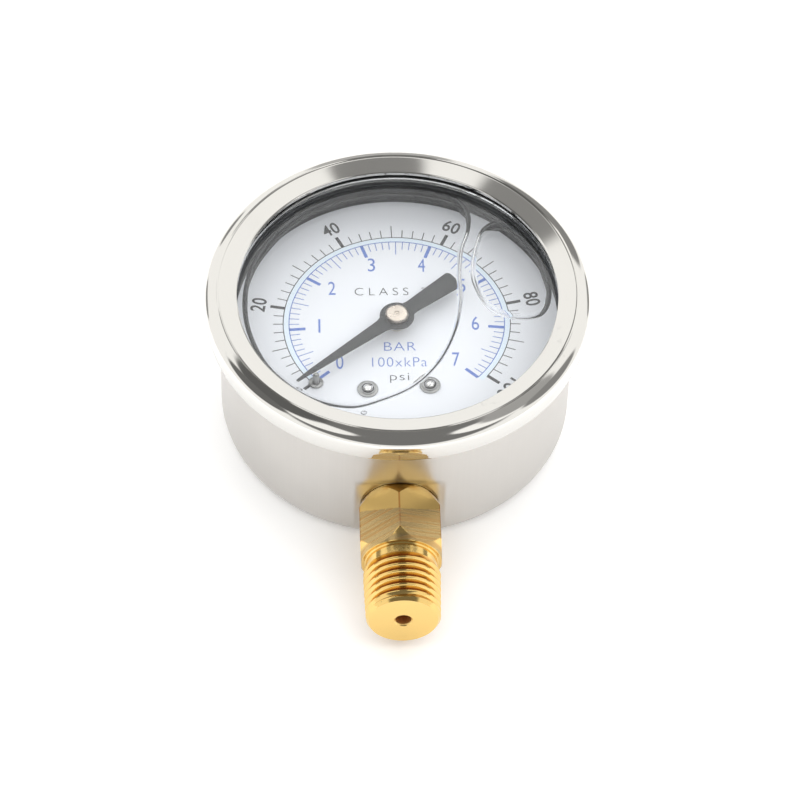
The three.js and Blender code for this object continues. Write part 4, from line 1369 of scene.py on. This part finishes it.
def pale_floor():
    """A plain matt floor under the gauge."""
    half = 3.0
    corners = [(-half, -half), (half, -half), (half, half), (-half, half)]
    points = [Vector((x, y, -0.05 * MM)) for x, y in corners]
    floor = make_object("floor", points, [(0, 1, 2, 3)])
    material, paint = new_finish("pale_floor")
    shade = Vector(colours().floor)
    tone = paint.noise(paint.place(), 8.0)
    paint.principled({
        "Base Color": paint.blend(tone, shade * 0.995, shade),
        "Roughness": 0.9,
        "Specular IOR Level": 0.1,
        "Emission Color": (1, 1, 1, 1),
        "Emission Strength": 0.2,
    })
    floor.data.materials.append(material)


def overhead_lamp(stage):
    """A very broad lamp overhead that polished pieces don't mirror."""
    lamp = bpy.data.lights.new("overhead", "SUN")
    lamp.energy = stage.lamp
    lamp.angle = math.radians(100)
    holder = bpy.data.objects.new("overhead", lamp)
    bpy.context.scene.collection.objects.link(holder)
    holder.rotation_euler = (math.radians(-14), math.radians(6), 0)
    holder.visible_glossy = False


def studio_camera(stage):
    """Stands the camera by its direction, roll and distance from the aim point."""
    elevation, azimuth = stage.elevation, stage.azimuth
    back = Vector((math.sin(azimuth) * math.cos(elevation), -math.cos(azimuth) * math.cos(elevation),
                   math.sin(elevation)))
    level = Vector((math.cos(azimuth), math.sin(azimuth), 0))
    upright = back.cross(level)
    right = level * math.cos(stage.roll) + upright * math.sin(stage.roll)
    up = upright * math.cos(stage.roll) - level * math.sin(stage.roll)
    lens = bpy.data.cameras.new("camera")
    lens.lens = stage.lens
    lens.sensor_width = 36
    lens.clip_start = 0.01
    lens.clip_end = 20
    camera = bpy.data.objects.new("camera", lens)
    bpy.context.scene.collection.objects.link(camera)
    turn = Matrix((right, up, back)).transposed().to_4x4()
    camera.matrix_world = Matrix.Translation(Vector(stage.aim) + back * stage.distance) @ turn
    bpy.context.scene.camera = camera


class GAUGE_OT_stage(bpy.types.Operator):
    """Makes the floor, the studio light and the camera"""

    bl_idname = "gauge.stage"
    bl_label = "Stage"

    def execute(self, context):
        stage = context.scene.gauge_stage
        studio_camera(stage)
        studio_world(stage)
        overhead_lamp(stage)
        pale_floor()
        context.scene.view_settings.view_transform = "Standard"
        context.scene.view_settings.look = "None"
        return {"FINISHED"}


# ---------------------------------------------------------------- add-on


OPERATORS = (
    GAUGE_OT_stage,
    GAUGE_OT_works,
    GAUGE_OT_case,
    GAUGE_OT_bezel,
    GAUGE_OT_window,
    GAUGE_OT_seal,
    GAUGE_OT_filling,
    GAUGE_OT_dial,
    GAUGE_OT_fasteners,
    GAUGE_OT_pointer,
    GAUGE_OT_stem,
    GAUGE_OT_plug,
)


class GAUGE_PT_looks(bpy.types.Panel):
    """Lists the gauge's pieces in the sidebar"""

    bl_idname = "GAUGE_PT_looks"
    bl_label = "Pressure Gauge"
    bl_space_type = "VIEW_3D"
    bl_region_type = "UI"
    bl_category = "Gauge"

    def draw(self, context):
        for operator in OPERATORS:
            self.layout.operator(operator.bl_idname)


GROUPS = {"gauge_sizes": GaugeSizes, "gauge_colours": GaugeColours, "gauge_stage": StageSettings}


def register():
    for group in GROUPS.values():
        bpy.utils.register_class(group)
    for name, group in GROUPS.items():
        setattr(bpy.types.Scene, name, PointerProperty(type=group))
    for operator in OPERATORS:
        bpy.utils.register_class(operator)
    bpy.utils.register_class(GAUGE_PT_looks)


def unregister():
    bpy.utils.unregister_class(GAUGE_PT_looks)
    for operator in reversed(OPERATORS):
        bpy.utils.unregister_class(operator)
    for name in GROUPS:
        delattr(bpy.types.Scene, name)
    for group in reversed(list(GROUPS.values())):
        bpy.utils.unregister_class(group)


def corners(box):
    """A box's two corners as plain lists."""
    return [list(corner) for corner in box]


def main():
    register()
    for operator in OPERATORS:
        group, name = operator.bl_idname.split(".")
        getattr(getattr(bpy.ops, group), name)()


if __name__ == "__main__":
    main()
